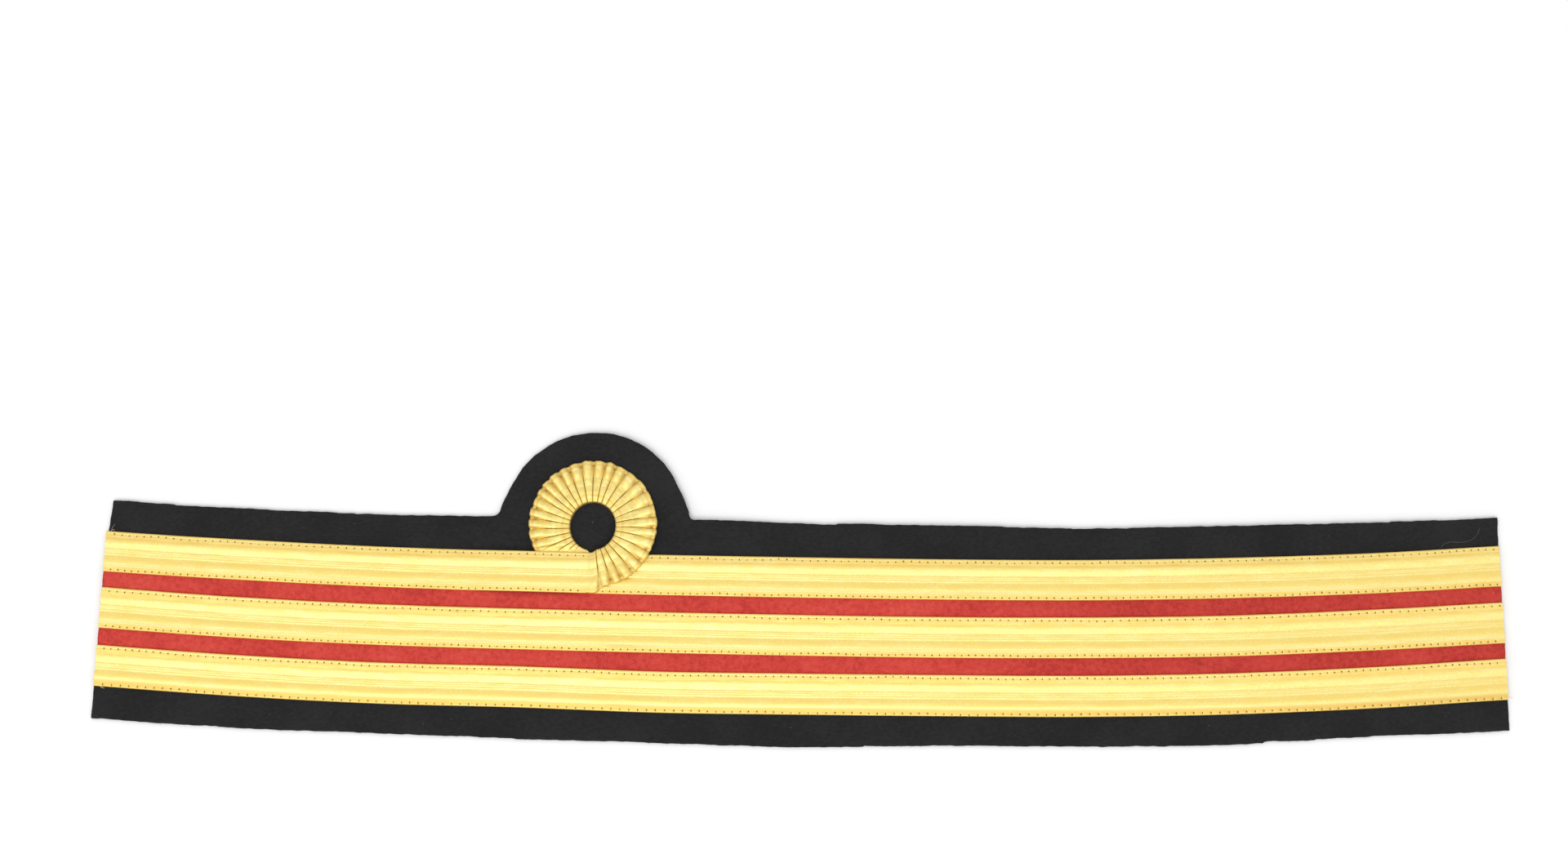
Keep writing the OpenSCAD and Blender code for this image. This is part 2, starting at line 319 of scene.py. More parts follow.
# Geometry node helpers
socketKinds = {
    float: "NodeSocketFloat", int: "NodeSocketInt",
    "object": "NodeSocketObject", "material": "NodeSocketMaterial",
}


def startTree(name, asked):
    tree = bpy.data.node_groups.new(name, "GeometryNodeTree")
    tree.interface.new_socket("Geometry", in_out="INPUT", socket_type="NodeSocketGeometry")
    tree.interface.new_socket("Geometry", in_out="OUTPUT", socket_type="NodeSocketGeometry")
    for label, value in asked.items():
        kind = value if isinstance(value, str) else type(value)
        socket = tree.interface.new_socket(label, in_out="INPUT", socket_type=socketKinds[kind])
        if not isinstance(value, str):
            socket.default_value = value
    given = tree.nodes.new("NodeGroupInput").outputs
    return tree, {s.name: s for s in given}


def endTree(tree, shape, material):
    real = place(tree, "GeometryNodeRealizeInstances", {"Geometry": shape})
    painted = place(tree, "GeometryNodeSetMaterial", {"Geometry": result(real), "Material": material})
    tree.links.new(result(painted), tree.nodes.new("NodeGroupOutput").inputs[0])


def named(tree, name, kind="FLOAT"):
    return result(place(tree, "GeometryNodeInputNamedAttribute", {"Name": name}, data_type=kind), "Attribute")


def store(tree, shape, name, value, domain="POINT", kind="FLOAT"):
    inputs = {"Geometry": shape, "Name": name, "Value": value}
    return result(place(tree, "GeometryNodeStoreNamedAttribute", inputs, data_type=kind, domain=domain))


def randomValue(tree, seed, low=0.0, high=1.0, kind="FLOAT"):
    inputs = {"Min": low, "Max": high, "Seed": seed}
    return result(place(tree, "FunctionNodeRandomValue", inputs, data_type=kind))


def curveLine(tree, parts, start, startHandle, endHandle, end):
    return result(place(tree, "GeometryNodeCurvePrimitiveBezierSegment", {
        "Resolution": parts, "Start": join(tree, *start), "Start Handle": join(tree, *startHandle),
        "End Handle": join(tree, *endHandle), "End": join(tree, *end)}, mode="POSITION"))


def tube(tree, line, radius, sides, closed=True):
    ring = place(tree, "GeometryNodeCurvePrimitiveCircle", {"Resolution": sides, "Radius": radius})
    return result(place(tree, "GeometryNodeCurveToMesh", {
        "Curve": line, "Profile Curve": result(ring), "Fill Caps": closed}))


def layCopies(tree, points, shape, lift, material, tone=None, **inputs):
    # A copy of a shape on each point, lifted, each with a tone of its own where one is given
    laid = place(tree, "GeometryNodeInstanceOnPoints", {"Points": points, "Instance": shape, **inputs})
    raised = result(place(tree, "GeometryNodeTranslateInstances", {
        "Instances": result(laid), "Translation": join(tree, 0.0, 0.0, lift), "Local Space": False}))
    if tone is not None:
        raised = store(tree, raised, "tone", tone, "INSTANCE")
    return result(place(tree, "GeometryNodeSetMaterial", {"Geometry": raised, "Material": material}))


def grow(source, tree, values, name=None):
    # Runs a geometry node tree on an object, and leaves its result as a plain mesh
    if name:
        made = bpy.data.objects.new(name, source.data.copy())
        bpy.context.scene.collection.objects.link(made)
    else:
        made = source
    step = made.modifiers.new(tree.name, "NODES")
    step.node_group = tree
    sockets = {s.name: s.identifier for s in tree.interface.items_tree if s.in_out == "INPUT"}
    for label, value in values.items():
        step[sockets[label]] = value
    made.update_tag()
    graph = bpy.context.evaluated_depsgraph_get()
    mesh = bpy.data.meshes.new_from_object(
        made.evaluated_get(graph), preserve_all_data_layers=True, depsgraph=graph)
    made.modifiers.clear()
    made.data = mesh
    mesh.name = made.name
    return made


# Material helpers
def startMaterial(name):
    material = bpy.data.materials.new(name)
    material.use_nodes = True
    tree = material.node_tree
    shader = next(n for n in tree.nodes if n.type == "BSDF_PRINCIPLED")
    return material, tree, shader


def objectSpot(tree):
    return place(tree, "ShaderNodeTexCoord").outputs["Object"]


def stored(tree, name):
    return place(tree, "ShaderNodeAttribute", attribute_name=name).outputs["Fac"]


def noise(tree, where, scale, detail=3.0, rough=0.5):
    inputs = {"Vector": where, "Scale": scale, "Detail": detail, "Roughness": rough}
    return place(tree, "ShaderNodeTexNoise", inputs).outputs[0]


def tint(tree, share, a, b, how="MIX"):
    made = place(tree, "ShaderNodeMix", data_type="RGBA", blend_type=how)
    for socket, value in zip([s for s in made.inputs if s.enabled], (share, a, b)):
        plug(tree, value, socket)
    return result(made)


def bump(tree, height, depth, strength=1.0, after=None):
    made = place(tree, "ShaderNodeBump", {"Height": height, "Strength": strength, "Distance": depth * mm})
    if after is not None:
        tree.links.new(after, made.inputs["Normal"])
    return made.outputs[0]


def wave(tree, value, pitch, shift=0.0):
    # Sine across a value in mm, 0 to 1
    turned = scaled(tree, value, 2 * math.pi / pitch, shift)
    return scaled(tree, calc(tree, "SINE", turned), 0.5, 0.5)


gold = {
    "amber": (0.945, 0.71, 0.20, 1), "full": (0.945, 0.785, 0.285, 1), "pale": (0.95, 0.86, 0.385, 1),
    "border": (0.93, 0.72, 0.25, 1), "line": (0.74, 0.47, 0.10, 1), "warm": (0.74, 0.49, 0.115, 1),
    "fold": (0.10, 0.05, 0.010, 1),
    # Places across the lace in mm from its middle, upper edge positive, each with a share: 0 amber to 1 pale,
    # painted shade and painted highlight on the rib slopes turned from and towards the key light; and the
    # depth of the fine dark lines between the ribs, partly painted shade on border slopes
    "shadeAndHighlight": [
        (-7.4, 0.0), (-6.2, 0.0), (-5.6, 0.05), (-5.15, 0.85), (-4.8, 1.0), (-4.2, 0.5), (-3.2, 0.14),
        (-2.3, 0.08), (-1.6, 0.25), (-1.1, 0.5), (0.0, 0.5), (0.9, 0.5), (1.5, 0.45), (2.2, 0.5),
        (3.2, 0.48), (4.0, 0.22), (4.7, 0.05), (5.3, 0.35), (5.8, 0.4), (6.4, 0.45), (7.2, 0.1),
    ],
    "lines": [
        (-7.4, 0.3), (-7.0, 0.2), (-6.65, 0.35), (-6.4, 0.1), (-6.1, 0.4), (-5.8, 0.38), (-5.5, 0.30),
        (-5.15, 0.04), (-4.9, 0.0), (-1.1, 0.0), (-0.8, 0.3), (-0.55, 0.1), (-0.3, 0.05), (0.35, 0.05),
        (0.6, 0.32), (0.9, 0.1), (1.2, 0.03), (2.0, 0.07), (3.0, 0.08), (3.9, 0.12), (4.3, 0.22),
        (4.8, 0.42), (5.1, 0.14), (5.7, 0.1), (5.95, 0.38), (6.2, 0.05), (6.6, 0.25), (6.9, 0.45), (7.2, 0.6),
    ],
    # Shares of the half width between which the middle groove ends, the border begins and its tint begins
    "grooveEnd": (0.15, 0.19), "borderStart": (0.60, 0.66), "tintStart": (0.72, 0.80),
    "borderTint": 0.35, "bareEdge": 0.75, "smudges": 0.4,
    "pleatTone": 0.56, "pleatShare": 0.6,      # the one tone that the pleats draw near to, and how near
    # Grain: its scale for each mm along and across the lace, a shift of its own and its detail
    "grains": {
        "streaks": (0.05, 1.5, 0.0, 4.0), "patches": (0.017, 0.12, 3.0, 2.0), "fine": (1.1, 1.5, 5.0, 2.0),
        "broad": (0.16, 0.5, 9.0, 2.0), "smudges": (0.045, 0.35, 21.0, 3.0), "threads": (0.3, 1.0, 7.0, 2.0),
        "weft": (0.2, 0.8, 1.0, 2.0), "lines": (0.12, 0.5, 11.0, 2.0),
    },
    "fineGrain": 1.7, "broadGrain": 1.0,
    "metallic": 0.85, "roughness": 0.47, "borderRoughness": 0.05,
    "threadPitch": 0.3, "threadDepth": 0.006, "threadDark": 0.12,
    "weftPitch": 0.55, "weftDepth": 0.008, "weftDark": 0.06, "grooveDark": 0.16,
}


def goldLace():
    material, tree, shader = startMaterial("goldLace")
    spot = place(tree, "ShaderNodeUVMap", uv_map="weaveMap").outputs[0]
    part = place(tree, "ShaderNodeSeparateXYZ", {0: spot})
    along, across = part.outputs[0], part.outputs[1]

    def grain(name):
        alongScale, acrossScale, shift, detail = gold["grains"][name]
        where = join(tree, times(tree, along, alongScale), times(tree, across, acrossScale), shift)
        return noise(tree, where, 1.0, detail)

    def section(points):
        # A value that follows the places across the lace
        side = calc(tree, "DIVIDE", minus(tree, halfLace, across), 2 * halfLace)
        return profile(tree, side, [((v + halfLace) / (2 * halfLace), share) for v, share in points])

    reach = calc(tree, "DIVIDE", calc(tree, "ABSOLUTE", across), halfLace)
    groove = remap(tree, reach, *gold["grooveEnd"], 1.0, 0.0)
    border = remap(tree, reach, *gold["borderStart"])
    streaks = grain("streaks")
    # Tone from amber to pale, painted shade and painted highlight across the ribs, with broad and fine
    # unevenness
    pleats = times(tree, stored(tree, "pleated"), gold["pleatShare"])
    tone = blend(tree, pleats, section(gold["shadeAndHighlight"]), gold["pleatTone"])
    drifting = plus(tree, times(tree, streaks, 0.6), times(tree, grain("patches"), 0.5))
    tone = plus(tree, tone, remap(tree, drifting, 0.35, 0.75, -0.25, 0.25, "LINEAR"),
                swing(tree, grain("fine"), gold["fineGrain"]),
                swing(tree, grain("broad"), gold["broadGrain"]))
    colour = tint(tree, remap(tree, tone, 0.0, 0.5, kind="LINEAR"), gold["amber"], gold["full"])
    colour = tint(tree, remap(tree, tone, 0.5, 1.0, kind="LINEAR"), colour, gold["pale"])
    # Borders, their smudges and painted shade on the bare lower edge
    edging = remap(tree, reach, *gold["tintStart"], 0.0, gold["borderTint"])
    colour = tint(tree, edging, colour, gold["border"])
    smudges = remap(tree, grain("smudges"), 0.55, 0.75, 0.0, gold["smudges"])
    colour = tint(tree, times(tree, smudges, border), colour, gold["warm"])
    colour = tint(tree, times(tree, stored(tree, "bare"), gold["bareEdge"]), colour, gold["warm"])
    # Threads along the lace, the weft across it, and the dark lines between the ribs, partly painted shade
    threads = wave(tree, across, gold["threadPitch"], times(tree, grain("threads"), 2.2))
    weft = wave(tree, along, gold["weftPitch"], times(tree, grain("weft"), 3.0))
    gapDark = scaled(tree, groove, gold["grooveDark"], gold["weftDark"])
    gaps = times(tree, remap(tree, weft, 0.25, 0.0), gapDark)
    # Dark lines between the ribs; on the border slopes they are painted shade
    drawn = times(tree, section(gold["lines"]), remap(tree, grain("lines"), 0.3, 0.7, 0.55, 1.25))
    lines = calc(tree, "MAXIMUM", times(tree, remap(tree, threads, 0.3, 0.0), gold["threadDark"]), drawn)
    colour = tint(tree, calc(tree, "MAXIMUM", gaps, lines), colour, gold["line"])
    for name, shadow in (("hollow", "warm"), ("crease", "fold")):
        colour = tint(tree, stored(tree, name), colour, gold[shadow])
    rough = scaled(tree, streaks, 0.16, gold["roughness"] - 0.08)
    setInputs(tree, shader, {
        "Base Color": colour, "Metallic": gold["metallic"],
        "Roughness": scaled(tree, border, gold["borderRoughness"], rough),
        "Normal": bump(tree, weft, gold["weftDepth"], 1.0, bump(tree, threads, gold["threadDepth"])),
    })
    return material


black = {
    "cloth": (0.0115, 0.0115, 0.0125, 1), "worn": (0.019, 0.019, 0.020, 1),
    "fineScale": 1900.0, "matScale": 620.0, "broadScale": 45.0, "stretch": (1.0, 1.6, 1.0),
    "roughness": (0.82, 0.98), "napDepth": 0.12, "matDepth": 0.25, "ribPitch": 0.7, "ribDepth": 0.04,
    "finish": {"Specular IOR Level": 0.2, "Sheen Weight": 0.06, "Sheen Roughness": 0.5},
}


def blackCloth():
    material, tree, shader = startMaterial("blackCloth")
    spot = objectSpot(tree)
    fine = noise(tree, spot, black["fineScale"], 4.0, 0.65)
    matted = noise(tree, vectorCalc(tree, "MULTIPLY", spot, black["stretch"]), black["matScale"], 4.0, 0.6)
    broad = noise(tree, spot, black["broadScale"], 3.0)
    worn = plus(tree, times(tree, matted, 0.6), times(tree, broad, 0.5))
    # A faint slanting rib of the twill below the nap
    twill = place(tree, "ShaderNodeSeparateXYZ", {0: spot})
    slant = plus(tree, twill.outputs[0], twill.outputs[1])
    rib = wave(tree, times(tree, slant, 1 / mm), black["ribPitch"], times(tree, matted, 5.0))
    nap = bump(tree, matted, black["matDepth"], 0.6, bump(tree, fine, black["napDepth"], 0.7))
    setInputs(tree, shader, {
        "Base Color": tint(tree, remap(tree, worn, 0.42, 0.72), black["cloth"], black["worn"]),
        "Roughness": remap(tree, fine, 0.2, 0.8, *black["roughness"]),
        "Normal": bump(tree, rib, black["ribDepth"], 0.5, nap), **black["finish"],
    })
    return material


scarlet = {
    "cloth": (0.59, 0.054, 0.040, 1),
    "dark": (0.467, 0.035, 0.029, 1),
    "light": (0.645, 0.079, 0.060, 1),
    "fleck": (0.245, 0.018, 0.015, 1),
    # The red is darker towards the right end
    "rightEndTint": (0.875, 0.82, 0.83, 1), "rightTintFrom": 30, "rightTintTo": 130,     # towards the right end, x in mm
    # Stains: place, half length and half width in mm, turn in degrees, strength
    "stains": [(140.6, -24.5, 3.4, 1.2, -29, 0.6), (117.7, -27.4, 2.0, 1.3, 20, 0.45)],
    "blotchScale": 650.0, "broadScale": 40.0, "fineScale": 1900.0, "speckScale": 820.0,
    "roughness": (0.8, 0.97), "napDepth": 0.12, "blotchDepth": 0.2,
    "finish": {"Specular IOR Level": 0.2, "Sheen Weight": 0.1, "Sheen Roughness": 0.5,
               "Sheen Tint": (1.0, 0.75, 0.72, 1)},
}


def scarletCloth():
    material, tree, shader = startMaterial("scarletCloth")
    spot = objectSpot(tree)
    blotch = noise(tree, spot, scarlet["blotchScale"], 5.0, 0.7)
    broad = noise(tree, spot, scarlet["broadScale"], 2.0)
    fine = noise(tree, spot, scarlet["fineScale"], 3.0, 0.6)
    mottle = plus(tree, times(tree, blotch, 0.7), times(tree, broad, 0.3))
    colour = tint(tree, remap(tree, mottle, 0.38, 0.52), scarlet["dark"], scarlet["cloth"])
    colour = tint(tree, remap(tree, mottle, 0.50, 0.66), colour, scarlet["light"])
    colour = tint(tree, remap(tree, fine, 0.60, 0.78, 0.0, 0.5), colour, scarlet["light"])
    specks = noise(tree, spot, scarlet["speckScale"], 2.0, 0.5)
    colour = tint(tree, remap(tree, specks, 0.64, 0.76, 0.0, 0.4), colour, scarlet["fleck"])
    lengthwise = place(tree, "ShaderNodeSeparateXYZ", {0: spot}).outputs[0]
    towardsRightEnd = remap(tree, lengthwise, scarlet["rightTintFrom"] * mm, scarlet["rightTintTo"] * mm)
    colour = tint(tree, towardsRightEnd, colour, scarlet["rightEndTint"], "MULTIPLY")
    for x, y, long, short, turn, strength in scarlet["stains"]:
        near = place(tree, "ShaderNodeMapping", {
            "Vector": spot, "Location": (x * mm, y * mm, 0), "Rotation": (0, 0, math.radians(turn)),
            "Scale": (long * mm, short * mm, 1)}, vector_type="TEXTURE")
        stain = remap(tree, lengthOf(tree, result(near)), 0.1, 1.0, strength, 0.0)
        stain = times(tree, stain, remap(tree, blotch, 0.3, 0.6, 1.3, 0.6))
        colour = tint(tree, stain, colour, scarlet["fleck"])
    nap = bump(tree, fine, scarlet["napDepth"], 0.8)
    setInputs(tree, shader, {
        "Base Color": colour, "Roughness": remap(tree, fine, 0.2, 0.8, *scarlet["roughness"]),
        "Normal": bump(tree, blotch, scarlet["blotchDepth"], 0.6, nap), **scarlet["finish"],
    })
    return material


def fibreMaterial(name, dark, light, rough=0.7, metallic=0.0):
    material, tree, shader = startMaterial(name)
    mottle = noise(tree, objectSpot(tree), 700.0, 2.0)
    share = calc(tree, "ADD", times(tree, stored(tree, "tone"), 0.8), times(tree, mottle, 0.2), clamp=True)
    colour = tint(tree, share, dark, light)
    setInputs(tree, shader, {"Base Color": colour, "Roughness": rough, "Metallic": metallic})
    return material


goldLaceMaterial = goldLace()
blackClothMaterial = blackCloth()
scarletClothMaterial = scarletCloth()
goldThreadMaterial = fibreMaterial("goldThread", (0.80, 0.52, 0.15, 1), (0.98, 0.74, 0.30, 1), 0.4, 0.8)
# Dark bowls at the needle pricks, painted shade in the holes
prickShadeMaterial = fibreMaterial("needlePrick", (0.13, 0.08, 0.022, 1), (0.27, 0.17, 0.05, 1), 0.9)
crossMaterial = fibreMaterial("crossThread", (0.42, 0.26, 0.055, 1), (0.74, 0.50, 0.13, 1), 0.6, 0.3)
blackFibreMaterial = fibreMaterial("blackFibre", (0.012, 0.012, 0.014, 1), (0.06, 0.06, 0.065, 1))
scarletFibreMaterial = fibreMaterial("scarletFibre", (0.42, 0.02, 0.02, 1), (0.82, 0.16, 0.13, 1))
lintMaterial = fibreMaterial("greyLint", (0.12, 0.115, 0.12, 1), (0.34, 0.33, 0.33, 1))
paleLintMaterial = fibreMaterial("paleLint", (0.55, 0.30, 0.28, 1), (0.85, 0.62, 0.60, 1))
print("materials made")


# Black cloth: raw-cut, with a rolled rim, small waves along its cut and a lift at its upper edge
cloth = {
    "outlineStep": 0.7, "endParts": 104, "arcParts": 145,
    "fillStep": 1.35, "fillArea": (250, 58), "fillClear": 0.9, "leftClear": 1.7, "underLace": 2,
    "rim": [(0.30, 1.20), (0.10, 1.13), (0.0, 0.92), (0.0, 0.30), (0.08, 0.08), (0.30, 0.0)],  # inset, height
    "cutWave": 0.075, "cutStep": 0.16, "shortWave": 3.0, "longWave": 17.0,
    "trimTop": 1.6, "trimLow": 0.7, "trimRun": 1.5,      # the upper left corner is cut a little short
    "unevenness": 0.05, "sewnDip": 0.1, "bareWithin": 2.5, "liftWithin": 6,
    # Steps left by the scissors: x, upper (1) or lower (-1) edge, depth, and the length it runs out over
    "snips": [
        (-224.4, 1, 0.32, 12), (-160, 1, 0.2, 8), (12.1, 1, 0.4, -15), (96, 1, 0.22, 7),
        (210, 1, 0.32, -10), (-205, -1, 0.2, -6), (-120, -1, 0.22, 7), (22.5, -1, 0.34, 10),
        (105, -1, -0.3, 2.5), (163, -1, 0.55, 14), (181, -1, 0.25, 8),
    ],
}


def bezier(a, b, c, count):
    t = np.linspace(0, 1, count)[:, None]
    return (1 - t) ** 2 * np.array(a) + 2 * t * (1 - t) * np.array(b) + t * t * np.array(c)


def humpPoint(turn):
    # The hump's arc spreads a little where it comes down to the strip
    fromTop = np.abs(90 - np.degrees(turn))
    low = np.clip((hump["flareFrom"] - np.abs(90 - fromTop)) / hump["flareOver"], 0, 1.2)
    reach = hump["radius"] + hump["flare"] * low ** 1.5
    return np.column_stack([humpX + reach * np.cos(turn), humpY + reach * np.sin(turn)])


def edgeLine(start, end, edgeY):
    x = np.linspace(start, end, abs(int((end - start) / cloth["outlineStep"])))
    return np.column_stack([x, edgeY(x)])


def clothOutline():
    # Round the cloth against the clock, from its lower left corner
    right, left = [endX(float(lowerEdgeY(s))) * np.sign(s) for s in (halfLength, -halfLength)]
    lower = edgeLine(left, right, lowerEdgeY)
    topRight, topLeft = float(upperEdgeY(halfLength)), float(upperEdgeY(-halfLength))
    y = np.linspace(lower[-1, 1], topRight, cloth["endParts"])[1:-1]
    rightEnd = np.column_stack([endX(y), y])
    rise = math.radians(hump["footTurn"])
    startRight, startLeft = humpPoint(np.array([rise, math.pi - rise]))
    upperRight = edgeLine(endX(topRight), startRight[0] + hump["rightFoot"], upperEdgeY)
    filletRight = bezier(upperRight[-1], (startRight[0] + 0.25, upperRight[-1, 1]), startRight, 7)[1:-1]
    arc = humpPoint(np.linspace(rise, math.pi - rise, cloth["arcParts"]))
    footLeft = startLeft[0] - hump["leftFoot"]
    count = int((footLeft + halfLength) / cloth["outlineStep"])
    x = np.linspace(footLeft, -endX(topLeft) + cloth["trimTop"], count)
    upperLeft = np.column_stack([x, upperEdgeY(x)])
    filletLeft = bezier(startLeft, (startLeft[0] - 0.5, upperLeft[0, 1]), upperLeft[0], 9)[1:-1]
    y = np.linspace(topLeft, lower[0, 1], cloth["endParts"])[1:-1]
    laceTop = float(laceY(0, -halfLength)) + halfLace
    above = mix(cloth["trimLow"], cloth["trimTop"], (y - laceTop) / (topLeft - laceTop))
    below = cloth["trimLow"] * ease(1 - (laceTop - y) / cloth["trimRun"])
    leftEnd = np.column_stack([-endX(y) + np.where(y > laceTop, above, below), y])
    loop = np.concatenate([lower, rightEnd, upperRight, filletRight, arc, filletLeft, upperLeft, leftEnd])
    going = np.concatenate([[0], np.cumsum(np.linalg.norm(np.diff(loop, axis=0), axis=1))])
    cut = cloth["cutWave"] * ripple(going, going * 0, cloth["shortWave"], 5) \
        + cloth["cutStep"] * 0.5 * ripple(going, going * 0, cloth["longWave"], 6)
    for x, side, depth, run in cloth["snips"]:
        past = (loop[:, 0] - x) * np.sign(run)
        onEdge = loop[:, 1] * side > 0
        cut += onEdge * depth * ease(past / 0.6 + 0.5) * np.exp(-np.maximum(past, 0) / abs(run))
    return inward(loop, cut[:, None])


def inward(loop, distance):
    ahead = np.roll(loop, -1, 0) - np.roll(loop, 1, 0)
    ahead = ahead / np.linalg.norm(ahead, axis=1)[:, None]
    return loop + distance * np.column_stack([-ahead[:, 1], ahead[:, 0]])


def clothInset(x, y):
    return np.maximum(upperEdgeY(x) - y, hump["radius"] - np.hypot(x - humpX, y - humpY))


def clothLift(x, y):
    return drift("lift", x) * ease(1 - np.maximum(clothInset(x, y), 0) / cloth["liftWithin"])


def clothRelief(x, y):
    # Shallow waves where the cloth is bare, and a dip along the laces that are sewn on it
    top, low = laceY(0, x) + halfLace, laceY(2, x) - halfLace
    outside = np.maximum(y - top, low - y)
    bare = ease(outside / cloth["bareWithin"])
    waves = ripple(x, y, 11, 8) * 0.5 + ripple(x, y, 38, 9)
    return bare * cloth["unevenness"] * waves - cloth["sewnDip"] * np.exp(-((outside - 0.2) / 0.9) ** 2)


def fillGrid():
    # Points inside the cloth, few of them where the laces hide it
    step, rise, clear = cloth["fillStep"], cloth["fillStep"] * 0.866, cloth["fillClear"]
    (wide, high), under = cloth["fillArea"], cloth["underLace"]
    columns = np.arange(-wide, wide, step)
    lines = [np.column_stack([columns + (k % 2) * step / 2, np.full(len(columns), y)])
             for k, y in enumerate(np.arange(-high, high, rise))]
    grid = np.concatenate(lines)
    x, y = grid.T
    hidden = (y < laceY(0, x) + halfLace - under) & (y > laceY(2, x) - halfLace + under)
    thin = (np.round(x / step).astype(int) % 4 == 0) & (np.round(y / rise).astype(int) % 4 == 0)
    inside = (y > lowerEdgeY(x) + clear) & (clothInset(x, y) > clear)
    inside &= (x < endX(y) - clear) & (x > -endX(y) + clear + cloth["leftClear"])
    return grid[inside & (~hidden | thin)]


def faceUp(flat, f):
    a, b, c = flat[f[0]], flat[f[1]], flat[f[2]]
    return (b[0] - a[0]) * (c[1] - a[1]) > (b[1] - a[1]) * (c[0] - a[0])


def makeCloth():
    loop = clothOutline()
    n = len(loop)
    coords = [Vector(p) for p in np.concatenate([inward(loop, cloth["rim"][0][0]), fillGrid()])]
    verts, _, faces, source, _, _ = delaunay_2d_cdt(coords, [], [list(range(n))], 1, 1e-5)
    flat = np.array([tuple(v) for v in verts])
    found = {s[0]: k for k, s in enumerate(source) if s and s[0] < n}
    rim = [found[i] for i in range(n)]
    x, y = flat.T
    lift = clothLift(x, y)
    top = np.column_stack([flat, strip["thickness"] + lift + clothRelief(x, y)])
    points, rings = [top, np.column_stack([flat, lift])], [rim]
    base = 2 * len(flat)
    for inset, height in cloth["rim"][1:-1]:
        ring = inward(loop, inset)
        rings.append(list(range(base, base + n)))
        base += n
        points.append(np.column_stack([ring, height + clothLift(*ring.T)]))
    rings.append([r + len(flat) for r in rim])
    turned = [list(f) if faceUp(flat, f) else list(f)[::-1] for f in faces]
    everything = turned + [[i + len(flat) for i in reversed(f)] for f in turned]
    for a, b in zip(rings, rings[1:]):
        everything += [[a[i], b[i], b[(i + 1) % n], a[(i + 1) % n]] for i in range(n)]
    made = makeObject("backing_cloth_wool", np.concatenate(points), everything)
    made.data.materials.append(blackClothMaterial)
    return made, loop


backing, outline = makeCloth()
print("black cloth made", len(backing.data.polygons), "faces")


# Scarlet cloth between the laces, puffed a little and pressed thin where it is sewn in
felt = {
    "thickness": 1.0, "tuckWidth": 2.0, "tuck": 0.4, "puff": 2.6, "unevenness": 0.05,
    "step": 0.9, "parts": 15,
}


def makeScarlet(i, name):
    x = np.linspace(-halfLength, halfLength, int(strip["length"] / felt["step"]))[:, None]
    high, low = laceY(i, x) - halfLace, laceY(i + 1, x) + halfLace
    share = np.linspace(0, 1, felt["parts"])[None, :]
    puff = 1 - np.abs(2 * share - 1) ** felt["puff"]
    y = np.concatenate([high + felt["tuckWidth"], mix(high, low, share), low - felt["tuckWidth"]], 1)
    px = pulledX(x + 0 * y, y)
    uneven = felt["unevenness"] * (ripple(px, y, 5, 20 + i) * 0.6 + ripple(px, y, 21, 30 + i) * 0.8)
    z = np.concatenate([0 * x, puff + 0 * x, 0 * x], 1)
    z = strip["seat"] + felt["tuck"] + (felt["thickness"] - felt["tuck"]) * z + uneven * z
    top = np.stack([px, y, z], -1)
    by = np.concatenate([high + felt["tuckWidth"], (high + low) / 2, low - felt["tuckWidth"]], 1)
    bottom = np.stack([pulledX(x + 0 * by, by), by, strip["seat"] + 0 * by], -1)
    made = bandMesh(name, top, bottom)
    made.data.materials.append(scarletClothMaterial)
    return made


scarletUpper = makeScarlet(0, "scarlet_strip_upper_wool")
scarletLower = makeScarlet(1, "scarlet_strip_lower_wool")
print("scarlet strips made")


# Gold lace. The band is laid out smooth here, and the node tree below it gives it its ribs,
# its sewn dimples and the pleats of the curl
weave = {
    "thickness": 1.4, "step": 0.52,
    # Stitches at the upper and the lower edge: how far in they lie, and their pitch on each lace from the top
    "stitchInset": (1.15, 0.85), "stitchPitch": [(2.82, 2.63), (2.83, 2.57), (2.63, 3.03)],
    "pitchDrift": 0.035, "pitchJitter": 0.04, "lineDrift": 0.16, "lineJitter": 0.06, "lineEnd": 0.8,
    "needleDepth": 0.16, "needleRadius": 0.62, "unevenness": 0.11, "crumple": 0.34,
    "rollAlong": 0.055, "rollAcross": 2.6, "crumpleScale": 420.0, "patchScale": 330.0, "sharpAngle": 58,
    "holePleat": 1.0, "rimPleat": 0.95, "lean": 0.2, "scallop": 0.36, "ruffle": 0.07, "pleatParts": 20,
    "pleatGain": (0.86, 1.12), "pleatBulge": (0.3, 1.5),
    "tailPleat": 25, "tailFade": 2.5,        # the pleat from which the tail goes below, and its fading in mm
    "rimInset": 1.9, "rimJitter": 0.3,       # the dark pricks round the curl's rim
    # Painted shade: the lower lace's border on black cloth is darker: from 3.6 mm off the middle, over 2.2
    # mm, and less at its very edge
    "bareFrom": 3.6, "bareOver": 2.2, "bareEdgeFrom": 6.05, "bareEdgeOver": 0.5,
}
# Half of the lace's upper side: distance from the middle line in mm, height as a share of the thickness
weaveSection = [
    (0.0, 0.80), (0.19, 0.79), (0.38, 0.765), (0.57, 0.79), (0.76, 0.80), (0.95, 0.785), (1.15, 0.745),
    (1.4, 0.775), (1.8, 0.83), (2.3, 0.905), (2.8, 0.965), (3.3, 1.0), (3.7, 0.995), (4.1, 0.96),
    (4.35, 0.93), (4.55, 0.905), (4.8, 0.895), (5.2, 0.88), (5.6, 0.845), (5.85, 0.80),
    (6.05, 0.755), (6.28, 0.765), (6.5, 0.755), (6.68, 0.72), (6.85, 0.715), (7.0, 0.65), (7.15, 0.45),
]
